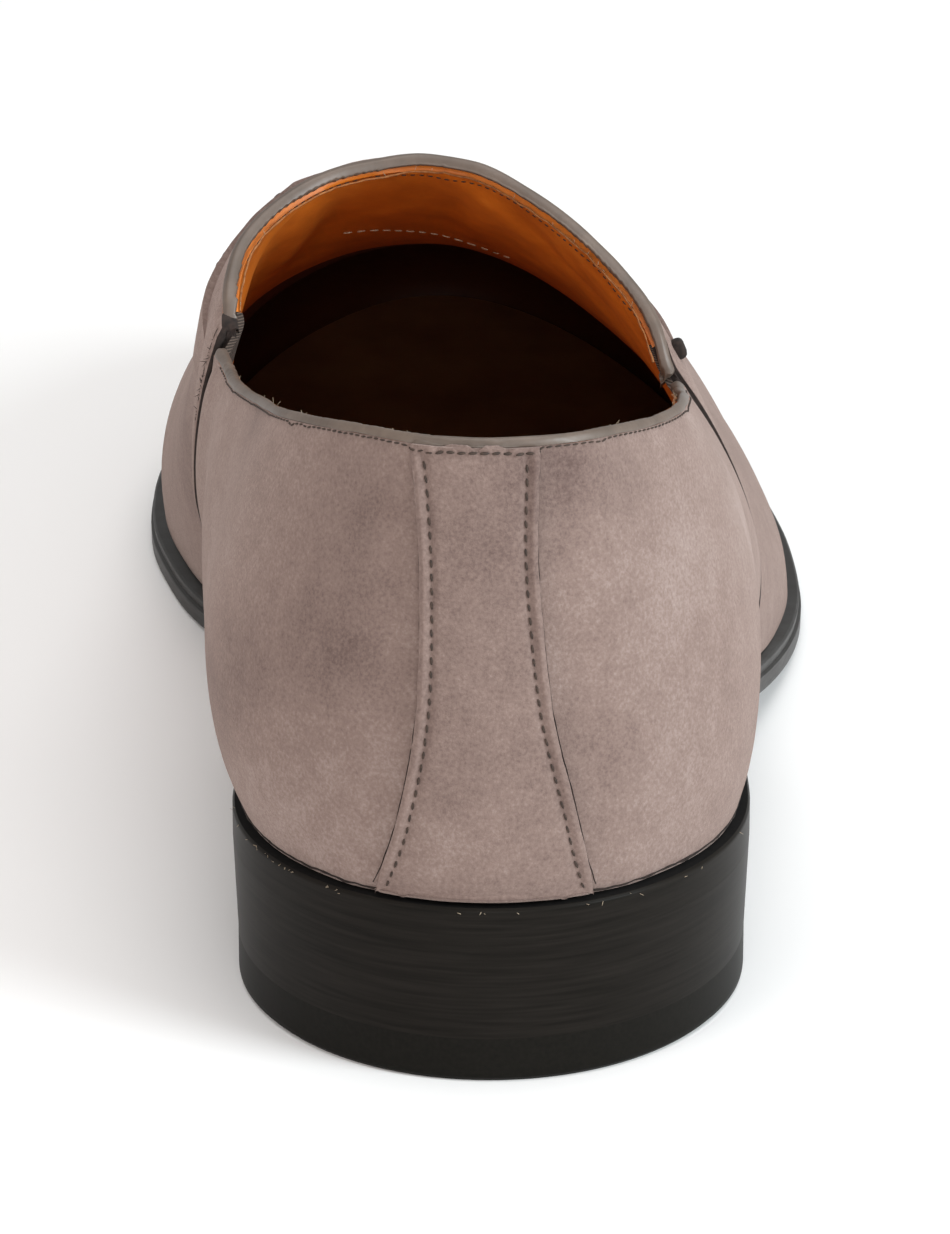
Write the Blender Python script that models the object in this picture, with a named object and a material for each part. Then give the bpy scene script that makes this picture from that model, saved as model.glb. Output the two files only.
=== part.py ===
"""A right-foot suede loafer with a back strip, bound collar, side gores, a saddle strap and a stacked heel.

X runs from the inner (medial) side to the outer (lateral) side, Y from heel to toe, Z up.
The floor is Z = 0. The origin lies under the middle of the shoe's box.
"""

import math
from collections import namedtuple

import bmesh
import bpy
import numpy as np
from mathutils import Vector

MM = 0.001

# Driving dimensions
LENGTH = 300 * MM
BALL_WIDTH = 105 * MM
INSTEP_HEIGHT = 94.5 * MM
HEEL_HEIGHT = 25.5 * MM
SOLE_THICKNESS = 5 * MM
WALL = 1.7 * MM
GAP = 0.3 * MM

# Round ends of the sole outline
HEEL_ROUND = 42 * MM
TOE_ROUND = 66 * MM
TOE_POWER = 2.2

# Sole edge, heel and insole
LEDGE_HEEL = 1.6 * MM
LEDGE_BALL = 3 * MM
FOREFOOT_START, FOREFOOT_FULL = 0.33, 0.56
TOP_LIFT = 6 * MM
HEEL_BREAST = 0.245
BREAST_BOW = 4 * MM
HEEL_TAPER = 0.6 * MM
HEEL_BEVEL = 0.6 * MM
INSOLE_THICKNESS = 2.5 * MM
INSOLE_CLEAR_HEEL = 1.6 * MM
INSOLE_CLEAR_BALL = 2.0 * MM

# Leather laid on the upper
VAMP_LAP = 0.7 * MM
STRIP_THICKNESS = 1.1 * MM
STRAP_THICKNESS = 1.4 * MM
STRAP_WIDTH = 20 * MM
STRAP_END = 5.5 * MM
STRAP_STATION = 0.426
STRAP_SLOPE = math.radians(30)
STRAP_REACH = 37 * MM
STRAP_GAP = 0.5 * MM
GORE_THICKNESS = 1 * MM
GORE_FOOT = 0.66
NOTCH_DEPTH = 0.17
LAP_EDGE = 0.04

# Rolled binding along the topline
BINDING_RISE = 1.0 * MM
BINDING_WIDTH = 1.9 * MM
TONGUE_GAP = 0.6 * MM

# Mesh steps
OUTLINE_STEPS = 34
RIB_STEPS = 2
WALL_ROWS = 12
STRIP_ROWS = 14
STRIP_COLUMNS = 8
STRAP_ROWS = 10
STRAP_COLUMNS = 4
BREAST_STEPS = 6
HALVINGS = 26
SHARP_ANGLE = math.radians(40)

LATERAL, MEDIAL = 1, -1

# One half of the rolled binding, from its foot to its crown, as shares of half its width and of its rise
RollStep = namedtuple("RollStep", "out up")
BINDING_ROLL = (
    RollStep(0.92, 0.00),
    RollStep(1.00, 0.35),
    RollStep(0.76, 0.78),
    RollStep(0.28, 1.00),
)

# Sole seen from above: stations as shares of the length, the rest as shares of the ball width
Outline = namedtuple("Outline", "station centre half_width")
OUTLINE = (
    Outline(0.000, 0.000, 0.343),
    Outline(0.150, 0.002, 0.342),
    Outline(0.250, 0.008, 0.330),
    Outline(0.333, 0.029, 0.319),
    Outline(0.400, 0.045, 0.331),
    Outline(0.467, 0.050, 0.370),
    Outline(0.533, 0.033, 0.424),
    Outline(0.583, 0.010, 0.462),
    Outline(0.633, -0.012, 0.482),
    Outline(0.690, -0.035, 0.492),
    Outline(0.750, -0.052, 0.481),
    Outline(0.833, -0.064, 0.441),
    Outline(0.917, -0.078, 0.402),
    Outline(1.000, -0.086, 0.362),
)

# Underside of the sole from the side: heights as shares of the seat's height
Underside = namedtuple("Underside", "station height")
UNDERSIDE = (
    Underside(0.000, 1.000),
    Underside(0.130, 0.975),
    Underside(0.240, 0.910),
    Underside(0.300, 0.750),
    Underside(0.367, 0.490),
    Underside(0.433, 0.260),
    Underside(0.500, 0.100),
    Underside(0.567, 0.015),
    Underside(0.600, 0.000),
    Underside(0.710, 0.000),
    Underside(0.780, 0.045),
    Underside(0.860, 0.155),
    Underside(0.930, 0.300),
    Underside(1.000, 0.490),
)

# Sole edge from the floor up: inset as a share of the ball ledge, height as a share of the sole's thickness
EdgeStep = namedtuple("EdgeStep", "inset height")
SOLE_EDGE = (
    EdgeStep(0.30, 0.00),
    EdgeStep(0.02, 0.10),
    EdgeStep(0.00, 0.58),
    EdgeStep(0.16, 0.64),
    EdgeStep(0.10, 0.92),
    EdgeStep(0.24, 1.00),
)

# Ribs of the upper, from the feather line up to the topline or the ridge of the instep.
# station, top: shares of the length. taper, shift: place of the top, as a share of the feather point's own
# distance and of the ball width. rise: height of the wall's top, as a share of the instep height.
# low, high: outward swell of the two handles, as shares of the ball width. up, high_up: their length along
# the wall, as shares of the wall's height.
Rib = namedtuple(
    "Rib",
    "station top taper shift_lateral shift_medial rise_lateral rise_medial "
    "low_lateral low_medial high_lateral high_medial up_lateral up_medial high_up",
)
QUARTER = (
    Rib(0.000, 0.027, 0.69, 0.000, 0.000, 0.926, 0.926, 0.033, 0.033, 0.043, 0.043, 0.30, 0.30, 0.30),
    Rib(0.030, 0.047, 0.69, 0.000, 0.000, 0.920, 0.920, 0.038, 0.046, 0.050, 0.050, 0.30, 0.30, 0.30),
    Rib(0.083, 0.090, 0.75, -0.010, -0.010, 0.893, 0.893, 0.050, 0.078, 0.068, 0.062, 0.30, 0.30, 0.30),
    Rib(0.160, 0.153, 0.80, -0.006, -0.034, 0.857, 0.846, 0.066, 0.097, 0.090, 0.076, 0.30, 0.30, 0.30),
    Rib(0.240, 0.217, 0.80, 0.006, -0.086, 0.797, 0.800, 0.080, 0.112, 0.108, 0.076, 0.30, 0.30, 0.30),
    Rib(0.307, 0.264, 0.80, 0.002, -0.130, 0.753, 0.777, 0.083, 0.134, 0.112, 0.070, 0.30, 0.30, 0.30),
    Rib(0.352, 0.297, 0.80, -0.006, -0.160, 0.728, 0.776, 0.076, 0.154, 0.111, 0.060, 0.30, 0.30, 0.30),
)
VAMP = (
    Rib(0.360, 0.309, 0.00, 0.250, -0.358, 0.739, 0.802, 0.072, 0.156, 0.108, 0.056, 0.30, 0.30, 0.30),
    Rib(0.384, 0.326, 0.00, 0.219, -0.361, 0.813, 0.840, 0.056, 0.160, 0.096, 0.060, 0.31, 0.31, 0.27),
    Rib(0.413, 0.348, 0.00, 0.162, -0.351, 0.875, 0.882, 0.042, 0.162, 0.088, 0.082, 0.32, 0.33, 0.21),
    Rib(0.443, 0.376, 0.00, 0.078, -0.300, 0.933, 0.932, 0.032, 0.163, 0.088, 0.116, 0.34, 0.36, 0.13),
    Rib(0.472, 0.400, 0.00, -0.021, -0.203, 0.973, 0.970, 0.025, 0.163, 0.097, 0.186, 0.36, 0.39, 0.05),
    Rib(0.500, 0.408, 0.00, -0.105, -0.105, 0.979, 0.979, 0.019, 0.160, 0.112, 0.305, 0.37, 0.42, 0.00),
    Rib(0.543, 0.453, 0.00, -0.105, -0.105, 0.884, 0.884, 0.010, 0.145, 0.145, 0.305, 0.36, 0.43, 0.00),
    Rib(0.600, 0.517, 0.00, -0.100, -0.100, 0.772, 0.772, -0.004, 0.106, 0.185, 0.270, 0.33, 0.44, 0.00),
    Rib(0.667, 0.593, 0.00, -0.094, -0.094, 0.677, 0.677, -0.018, 0.058, 0.228, 0.240, 0.30, 0.45, 0.00),
    Rib(0.740, 0.677, 0.00, -0.088, -0.088, 0.599, 0.599, -0.021, 0.030, 0.255, 0.240, 0.30, 0.45, 0.00),
    Rib(0.817, 0.753, 0.00, -0.085, -0.085, 0.533, 0.533, -0.010, 0.024, 0.250, 0.242, 0.34, 0.45, 0.00),
    Rib(0.887, 0.817, 0.00, -0.086, -0.086, 0.480, 0.480, 0.008, 0.026, 0.205, 0.205, 0.40, 0.45, 0.00),
    Rib(0.943, 0.857, 0.00, -0.086, -0.086, 0.442, 0.442, 0.022, 0.029, 0.155, 0.162, 0.44, 0.45, 0.00),
    Rib(0.980, 0.877, 0.00, -0.086, -0.086, 0.420, 0.420, 0.028, 0.029, 0.133, 0.133, 0.45, 0.45, 0.00),
    Rib(1.000, 0.883, 0.00, -0.086, -0.086, 0.413, 0.413, 0.029, 0.029, 0.133, 0.133, 0.45, 0.45, 0.00),
)
APEX = 5
TOE_FAN = 0.82
TOE_FALL = 0.30

# Back strip: share of the wall's height, the strip's middle and half its width
StripRow = namedtuple("StripRow", "share middle half_width")
BACK_STRIP = (
    StripRow(0.00, -0.7 * MM, 14.6 * MM),
    StripRow(0.22, -0.3 * MM, 11.3 * MM),
    StripRow(0.48, -0.8 * MM, 8.3 * MM),
    StripRow(0.76, -1.5 * MM, 7.4 * MM),
    StripRow(1.00, -1.9 * MM, 8.0 * MM),
)

Finish = namedtuple("Finish", "name colour roughness")
SUEDE = Finish("taupe_suede", (0.33, 0.25, 0.22, 1), 0.95)
BINDING = Finish("taupe_calf", (0.25, 0.20, 0.17, 1), 0.55)
ELASTIC = Finish("taupe_elastic", (0.13, 0.10, 0.08, 1), 0.9)
INSOLE = Finish("brown_calf", (0.06, 0.03, 0.015, 1), 0.6)
SOLE = Finish("black_sole", (0.02, 0.02, 0.02, 1), 0.4)
RUBBER = Finish("black_rubber", (0.02, 0.02, 0.02, 1), 0.6)


def smooth_table(rows, by_station, corner=None, level=()):
    """A function giving every column of a table, by a monotone cubic through its rows.

    At the corner row the curve may turn sharply, and the level columns come to it without a slope.
    """
    values = np.array(rows, float)
    if by_station:
        places = values[:, 0]
    else:
        places = np.arange(len(rows), dtype=float)
    steps = np.diff(places)
    slopes = np.diff(values, axis=0) / steps[:, None]
    tangents = np.zeros_like(values)
    tangents[0], tangents[-1] = slopes[0], slopes[-1]
    for k in range(1, len(rows) - 1):
        before, after = slopes[k - 1], slopes[k]
        weight_before = 2 * steps[k] + steps[k - 1]
        weight_after = steps[k] + 2 * steps[k - 1]
        same_way = before * after > 0
        blend = weight_before / np.where(same_way, before, 1) + weight_after / np.where(same_way, after, 1)
        tangents[k] = np.where(same_way, (weight_before + weight_after) / blend, 0)
    arriving, leaving = tangents, tangents.copy()
    if corner is not None:
        sloped = np.array([field not in level for field in rows[0]._fields])
        arriving[corner], leaving[corner] = slopes[corner - 1] * sloped, slopes[corner]

    def at(place):
        k = int(np.clip(np.searchsorted(places, place) - 1, 0, len(rows) - 2))
        u = (place - places[k]) / steps[k]
        start = (1 + 2 * u) * (1 - u) ** 2 * values[k] + u * (1 - u) ** 2 * steps[k] * leaving[k]
        end = u * u * (3 - 2 * u) * values[k + 1] + u * u * (u - 1) * steps[k] * arriving[k + 1]
        return type(rows[0])(*(start + end))

    return at


outline_at = smooth_table(OUTLINE, True)
underside_at = smooth_table(UNDERSIDE, True)
strip_at = smooth_table(BACK_STRIP, True)
quarter_at = smooth_table(QUARTER, False)
vamp_at = smooth_table(VAMP, False, APEX, ("top", "rise_lateral", "rise_medial"))


def station_of(turn):
    """Station of a point that goes round the outline from the heel (0) to the toe tip (pi)."""
    return (1 - math.cos(turn)) / 2


def turn_of(station):
    return math.acos(1 - 2 * min(max(station, 0), 1))


def outline_point(turn, side):
    """A point of the sole's outline, in plan."""
    station = station_of(turn)
    row = outline_at(station)
    y = station * LENGTH
    width = row.half_width * BALL_WIDTH
    if y < HEEL_ROUND:
        width *= math.sqrt(max(0, 1 - (1 - y / HEEL_ROUND) ** 2))
    toe = (y - LENGTH + TOE_ROUND) / TOE_ROUND
    if toe > 0:
        width *= math.sqrt(max(0, 1 - toe**TOE_POWER))
    return np.array((row.centre * BALL_WIDTH + side * width, y))


def outline_normal(turn, side):
    """Outward normal of the outline, in plan."""
    step = 0.01
    along = outline_point(min(turn + step, math.pi), side) - outline_point(max(turn - step, 0), side)
    along /= np.linalg.norm(along)
    return side * np.array((along[1], -along[0]))


def inset_point(turn, side, inset):
    """A point inside the outline by inset, in plan."""
    if turn in (0, math.pi):
        normal = np.array((0, -1 if turn == 0 else 1))
    else:
        normal = outline_normal(turn, side)
    return outline_point(turn, side) - normal * inset


def underside(y):
    seat_height = HEEL_HEIGHT - SOLE_THICKNESS
    return underside_at(min(max(y / LENGTH, 0), 1)).height * seat_height


def sole_top(y):
    return underside(y) + SOLE_THICKNESS


def heel_to_ball(station, at_heel, at_ball):
    """A size that changes smoothly from its value round the heel to its value round the forefoot."""
    share = min(max((station - FOREFOOT_START) / (FOREFOOT_FULL - FOREFOOT_START), 0), 1)
    return at_heel + (at_ball - at_heel) * share * share * (3 - 2 * share)


def ledge(station):
    """Width of the sole's ledge outside the upper."""
    return heel_to_ball(station, LEDGE_HEEL, LEDGE_BALL)


def insole_inset(station):
    """How far the insole stays inside the sole's outline, clear of the upper's wall."""
    return ledge(station) + WALL + heel_to_ball(station, INSOLE_CLEAR_HEEL, INSOLE_CLEAR_BALL)


def wall_point(rib, side, share):
    """A point of the upper's outer face on one rib: share 0 at the feather line, 1 at the top."""
    lateral = side == LATERAL
    turn = turn_of(rib.station)
    x, y = inset_point(turn, side, ledge(rib.station))
    if rib.station <= 0 or rib.station >= 1:
        out = np.array((0.0, -1.0 if rib.station <= 0 else 1.0))
    else:
        out = outline_normal(turn, side)
    foot = np.array((x, y, sole_top(y) + GAP))
    shift = (rib.shift_lateral if lateral else rib.shift_medial) * BALL_WIDTH
    rise = (rib.rise_lateral if lateral else rib.rise_medial) * INSTEP_HEIGHT
    top = np.array((x * rib.taper + shift, rib.top * LENGTH, rise))
    height = top[2] - foot[2]
    low = (rib.low_lateral if lateral else rib.low_medial) * BALL_WIDTH
    high = (rib.high_lateral if lateral else rib.high_medial) * BALL_WIDTH
    low_up = (rib.up_lateral if lateral else rib.up_medial) * height
    across = np.array((side, 0.0))
    fan = min(max((rib.station - TOE_FAN) / (1 - TOE_FAN), 0), 1)
    if rib.taper > 0:
        fan = 1
    lie = across * (1 - fan) + out * fan
    lie /= np.linalg.norm(lie)
    fall = TOE_FALL * lie[1] * high if rib.taper == 0 else 0
    foot_handle = foot + np.array((out[0] * low, out[1] * low, low_up))
    top_handle = top + np.array((lie[0] * high, lie[1] * high, -rib.high_up * height - fall))
    u = 1 - share
    return u**3 * foot + 3 * u * u * share * foot_handle + 3 * u * share * share * top_handle + share**3 * top


def quarter_point(side, place, share):
    return wall_point(quarter_at(place), side, share)


def vamp_point(side, place, share):
    return wall_point(vamp_at(place), side, share)


def seam_point(side, place, share):
    """Between the quarter's front edge and the vamp's back edge, where the gore's notch is cut."""
    return (quarter_point(side, len(QUARTER) - 1, share) + vamp_point(side, 0, share)) / 2


def wall_normal(panel, side, place, share):
    """Outward normal of a panel of the upper."""
    last = {quarter_point: len(QUARTER) - 1, vamp_point: len(VAMP) - 1, seam_point: 0}[panel]
    rib_step, share_step = 0.4, 0.02
    share = min(share, 1 - share_step)
    if panel is seam_point:
        first = wall_normal(quarter_point, side, len(QUARTER) - 1, share)
        second = wall_normal(vamp_point, side, 0, share)
        return (first + second) / np.linalg.norm(first + second)
    ahead = panel(side, min(place + rib_step, last), share) - panel(side, max(place - rib_step, 0), share)
    up = panel(side, place, share + share_step) - panel(side, place, max(share - share_step, 0))
    normal = np.cross(ahead, up) * side
    return normal / np.linalg.norm(normal)


def lifted_point(panel, side, place, share, lift):
    """A point of the upper moved out along its normal by lift."""
    normal = wall_normal(panel, side, place, share)
    on_centre = (panel is quarter_point and place == 0) or (panel is vamp_point and place == len(VAMP) - 1)
    on_ridge = panel is vamp_point and place >= APEX and share == 1
    if on_ridge:
        normal = normal + wall_normal(panel, -side, place, share)
    if on_centre:
        normal = normal * np.array((0, 1, 1))
    if share == 0:
        normal = normal * np.array((1, 1, 0))
    normal /= np.linalg.norm(normal)
    return panel(side, place, share) + normal * lift


def new_object(name, mesh_data, finish, parent):
    mesh = bpy.data.meshes.new(name)
    mesh_data.to_mesh(mesh)
    mesh_data.free()
    mesh.shade_smooth()
    mesh.set_sharp_from_angle(angle=SHARP_ANGLE)
    material = bpy.data.materials.get(finish.name)
    if material is None:
        material = bpy.data.materials.new(finish.name)
        material.use_nodes = True
        shader = material.node_tree.nodes["Principled BSDF"]
        shader.inputs["Base Color"].default_value = finish.colour
        shader.inputs["Roughness"].default_value = finish.roughness
        shader.inputs["Metallic"].default_value = 0
    mesh.materials.append(material)
    obj = bpy.data.objects.new(name, mesh)
    obj.parent = parent
    bpy.context.scene.collection.objects.link(obj)
    return obj


def add_loop(bm, points):
    return [bm.verts.new(Vector(p)) for p in points]


def skin(bm, first, second, closed):
    """Quads between two rows of vertices."""
    count = len(first)
    for k in range(count if closed else count - 1):
        n = (k + 1) % count
        bm.faces.new((first[k], first[n], second[n], second[k]))


def face_outwards(bm):
    bmesh.ops.recalc_face_normals(bm, faces=bm.faces)


def plate_turns(last_station):
    """Turns from the heel to a last station, closest where the outline is roundest."""
    end = turn_of(last_station)
    count = max(3, round(OUTLINE_STEPS * end / math.pi))
    return [end * k / count for k in range(count + 1)]


def ring_of(turns, inset_at, height_at, closed_toe):
    """Points round the outline: up the lateral side, and back down the medial side."""
    lateral = [inset_point(turn, LATERAL, inset_at(station_of(turn))) for turn in turns]
    returning = turns[1:-1] if closed_toe else turns[1:]
    medial = [inset_point(turn, MEDIAL, inset_at(station_of(turn))) for turn in returning]
    return [(x, y, height_at(y)) for x, y in lateral + medial[::-1]]


def cap_strips(bm, ring, count):
    """Closes a ring of the outline with faces that run straight across the shoe."""
    total = len(ring)
    for k in range(count):
        corners = [ring[k], ring[k + 1], ring[(total - k - 1) % total], ring[(total - k) % total]]
        corners = [v for n, v in enumerate(corners) if v not in corners[:n]]
        if len(corners) > 2:
            bm.faces.new(corners)


def outsole(parent):
    bm = bmesh.new()
    turns = plate_turns(1)
    rings = []
    for step in SOLE_EDGE:
        lift = step.height * SOLE_THICKNESS
        inset = step.inset * LEDGE_BALL
        points = ring_of(turns, lambda station: inset, lambda y: underside(y) + lift, True)
        rings.append(add_loop(bm, points))
    for low, high in zip(rings, rings[1:]):
        skin(bm, low, high, True)
    for ring in (rings[0], rings[-1]):
        cap_strips(bm, ring, len(turns) - 1)
    face_outwards(bm)
    return new_object("outsole", bm, SOLE, parent)


def insole(parent):
    bm = bmesh.new()
    turns = plate_turns(1)
    rings = []
    for lift in (GAP, GAP + INSOLE_THICKNESS):
        points = ring_of(turns, insole_inset, lambda y: sole_top(y) + lift, True)
        rings.append(add_loop(bm, points))
    skin(bm, rings[0], rings[1], True)
    for ring in rings:
        cap_strips(bm, ring, len(turns) - 1)
    face_outwards(bm)
    return new_object("insole", bm, INSOLE, parent)


def heel_piece(name, finish, parent, levels):
    """A slab of the heel: levels give each ring's inset and its height above the floor at a given Y."""
    bm = bmesh.new()
    turns = plate_turns(HEEL_BREAST)
    breast_y = HEEL_BREAST * LENGTH
    rings = []
    for inset, height_at in levels:
        ring = ring_of(turns, lambda station: inset, height_at, False)
        corner, other = ring[len(turns) - 1], ring[len(turns)]
        bow = []
        for k in range(1, BREAST_STEPS):
            share = k / BREAST_STEPS
            x = corner[0] + (other[0] - corner[0]) * share
            bow.append((x, corner[1] - BREAST_BOW * math.sin(math.pi * share), height_at(breast_y)))
        ring[len(turns) : len(turns)] = bow
        rings.append(add_loop(bm, ring))
    for low, high in zip(rings, rings[1:]):
        skin(bm, low, high, True)
    count = len(turns) - 1
    for ring in (rings[0], rings[-1]):
        total = len(ring)
        for k in range(count - 1):
            corners = [ring[k], ring[k + 1], ring[(total - k - 1) % total], ring[(total - k) % total]]
            bm.faces.new([v for n, v in enumerate(corners) if v not in corners[:n]])
        bm.faces.new(ring[count - 1 : total - count + 2])
    face_outwards(bm)
    return new_object(name, bm, finish, parent)


def heel(parent):
    heel_piece(
        "top_lift",
        RUBBER,
        parent,
        (
            (HEEL_TAPER + HEEL_BEVEL, lambda y: 0),
            (HEEL_TAPER, lambda y: HEEL_BEVEL),
            (HEEL_TAPER, lambda y: TOP_LIFT),
        ),
    )
    heel_piece(
        "heel_stack",
        SOLE,
        parent,
        (
            (HEEL_TAPER, lambda y: TOP_LIFT + GAP),
            (0, lambda y: underside(y) - GAP),
        ),
    )


def upper_columns():
    """The ribs that the upper's mesh follows: panel, place, how far up it goes, and its lap."""
    columns = []
    for k in range((len(QUARTER) - 1) * RIB_STEPS + 1):
        columns.append((quarter_point, k / RIB_STEPS, 1, 0))
    columns.append((seam_point, 0, 1 - NOTCH_DEPTH, 0))
    columns.append((vamp_point, 0, 1, 0))
    columns.append((vamp_point, LAP_EDGE, 1, VAMP_LAP))
    for k in range(1, (len(VAMP) - 1) * RIB_STEPS + 1):
        columns.append((vamp_point, k / RIB_STEPS, 1, VAMP_LAP))
    return columns


def upper(parent):
    """One hollow wall: quarters and vamp, open at the topline and underneath."""
    bm = bmesh.new()
    columns = upper_columns()
    last = len(columns) - 1
    found = {}

    def corner(face, side, column, row):
        panel, place, reach, lap = columns[column]
        on_ridge = panel is vamp_point and place >= APEX and row == WALL_ROWS
        if column in (0, last) or on_ridge:
            side = LATERAL
        key = (face, side, column, row)
        if key not in found:
            lift = lap if face == "outer" else -WALL
            found[key] = bm.verts.new(lifted_point(panel, side, place, reach * row / WALL_ROWS, lift))
        return found[key]

    def quad(*corners):
        corners = [v for n, v in enumerate(corners) if v not in corners[:n]]
        if len(corners) > 2:
            bm.faces.new(corners)

    for side in (LATERAL, MEDIAL):
        for column in range(last):
            for row in range(WALL_ROWS):
                for face in ("outer", "inner"):
                    quad(
                        corner(face, side, column, row),
                        corner(face, side, column + 1, row),
                        corner(face, side, column + 1, row + 1),
                        corner(face, side, column, row + 1),
                    )
            panel, place, reach, lap = columns[column]
            rims = [0]
            if panel is not vamp_point or place < APEX:
                rims.append(WALL_ROWS)
            for row in rims:
                quad(
                    corner("outer", side, column, row),
                    corner("outer", side, column + 1, row),
                    corner("inner", side, column + 1, row),
                    corner("inner", side, column, row),
                )
    face_outwards(bm)
    return new_object("upper", bm, SUEDE, parent)


def bisect(rising, target, low, high):
    """Place between low and high where a rising function meets its target."""
    for _ in range(HALVINGS):
        middle = (low + high) / 2
        if rising(middle) < target:
            low = middle
        else:
            high = middle
    return (low + high) / 2


def place_at_width(share, half_width, side):
    """Place on the quarter, near the heel, where the wall is half_width from the centre line."""
    return bisect(lambda place: abs(quarter_point(side, place, share)[0]), half_width, 0, len(QUARTER) / 2)


def along_strap(point):
    return point[1] * math.cos(STRAP_SLOPE) + point[2] * math.sin(STRAP_SLOPE)


def across_strap(point):
    return point[1] * math.sin(STRAP_SLOPE) - point[2] * math.cos(STRAP_SLOPE)


def strap_share(side, place, past_line):
    """Share of a rib's height at which a line along the strap crosses it."""
    return bisect(lambda share: -past_line(vamp_point(side, place, share)), 0, 0, 1)


def sheet_on_upper(name, grid, low, high, finish, parent):
    """A closed sheet between two lifts above the upper. grid holds rows of (panel, side, place, share)."""
    bm = bmesh.new()
    layers = []
    for lift in (low, high):
        layers.append([add_loop(bm, [lifted_point(*spot, lift) for spot in row]) for row in grid])
    for layer in layers:
        for first, second in zip(layer, layer[1:]):
            skin(bm, first, second, False)
    below, above = layers
    skin(bm, below[0], above[0], False)
    skin(bm, below[-1], above[-1], False)
    skin(bm, [row[0] for row in below], [row[0] for row in above], False)
    skin(bm, [row[-1] for row in below], [row[-1] for row in above], False)
    face_outwards(bm)
    return new_object(name, bm, finish, parent)


def back_strip(parent):
    """The strip that covers the seam of the two quarters up the heel."""
    grid = []
    for k in range(STRIP_ROWS + 1):
        share = k / STRIP_ROWS
        edge = strip_at(share)
        row = []
        for n in range(STRIP_COLUMNS + 1):
            x = edge.middle + edge.half_width * (2 * n / STRIP_COLUMNS - 1)
            side = LATERAL if x >= 0 else MEDIAL
            row.append((quarter_point, side, place_at_width(share, abs(x), side), share))
        grid.append(row)
    return sheet_on_upper("back_strip", grid, GAP, GAP + STRIP_THICKNESS, SUEDE, parent)


def strap_half(side, past_line, end):
    """Spots on a line along the strap, from its end beside the gore up to the ridge."""

    def reach(place):
        return along_strap(vamp_point(side, place, strap_share(side, place, past_line)))

    ridge = bisect(lambda place: past_line(vamp_point(side, place, 1)), 0, APEX, len(VAMP) - 1)
    first = bisect(reach, end, 0, ridge)
    spots = []
    for k in range(STRAP_ROWS):
        place = ridge - (ridge - first) * (1 - k / STRAP_ROWS) ** 2
        spots.append((vamp_point, side, place, strap_share(side, place, past_line)))
    return spots + [(vamp_point, side, ridge, 1)]


def saddle_strap(parent):
    """The strap over the instep, from gore to gore, straight along its back edge in side view."""
    ridge = bisect(lambda place: vamp_point(LATERAL, place, 1)[1], STRAP_STATION * LENGTH, APEX, len(VAMP) - 1)
    start = vamp_point(LATERAL, ridge, 1)
    end = along_strap(start) - STRAP_REACH
    lines = []
    for n in range(STRAP_COLUMNS + 1):

        def past_line(point):
            share = min(max((along_strap(point) - end) / STRAP_REACH, 0), 1)
            width = STRAP_END + (STRAP_WIDTH - STRAP_END) * share
            return across_strap(point) - across_strap(start) - width * n / STRAP_COLUMNS

        lines.append(strap_half(MEDIAL, past_line, end) + strap_half(LATERAL, past_line, end)[-2::-1])
    low = VAMP_LAP + STRAP_GAP
    return sheet_on_upper("saddle_strap", lines, low, low + STRAP_THICKNESS, SUEDE, parent)


def gore(name, side, parent):
    """Elastic behind the notch between quarter and vamp."""
    last = len(QUARTER) - 1
    columns = [(quarter_point, last - 0.5), (quarter_point, last), (vamp_point, 0), (vamp_point, 0.5)]
    rows = range(round(WALL_ROWS * GORE_FOOT), WALL_ROWS + 1)
    grid = [[(panel, side, place, row / WALL_ROWS) for panel, place in columns] for row in rows]
    return sheet_on_upper(name, grid, -WALL - GAP - GORE_THICKNESS, -WALL - GAP, ELASTIC, parent)


def binding_profile(width):
    """Rolled edge across the rim: out from the middle of the wall, and up."""
    half = [(step.out * width / 2, step.up * BINDING_RISE) for step in BINDING_ROLL]
    return half + [(-out, up) for out, up in half[::-1]]


def binding(name, spots, lap, gap, parent):
    """A rolled leather edge that follows the topline through spots on the upper."""
    bm = bmesh.new()
    profile = binding_profile(BINDING_WIDTH + lap)
    rims = [lifted_point(*spot, 1, (lap - WALL) / 2) for spot in spots]
    outs = [lifted_point(*spot, 1, 1) - lifted_point(*spot, 1, 0) for spot in spots]
    rings = []
    for k, rim in enumerate(rims):
        before, after = max(k - 1, 0), min(k + 1, len(rims) - 1)
        out = outs[before] + outs[k] * 2 + outs[after]
        out /= np.linalg.norm(out)
        up = np.cross(out, rims[after] - rims[before])
        up /= np.linalg.norm(up)
        rings.append(add_loop(bm, [rim + out * a + up * (b + gap) for a, b in profile]))
    for first, second in zip(rings, rings[1:]):
        skin(bm, first, second, True)
    bm.faces.new(rings[0])
    bm.faces.new(rings[-1])
    face_outwards(bm)
    return new_object(name, bm, BINDING, parent)


def bindings(parent):
    steps = RIB_STEPS * 2
    count = (len(QUARTER) - 1) * steps
    places = [k / steps for k in range(count + 1)]
    collar = [(quarter_point, MEDIAL, place) for place in places[:0:-1]]
    collar += [(quarter_point, LATERAL, place) for place in places]
    binding("collar_binding", collar, 0, GAP, parent)
    places = [LAP_EDGE] + [k / steps for k in range(1, APEX * steps + 1)]
    tongue = [(vamp_point, LATERAL, place) for place in places]
    tongue += [(vamp_point, MEDIAL, place) for place in places[-2::-1]]
    binding("tongue_binding", tongue, VAMP_LAP, TONGUE_GAP, parent)


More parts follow.
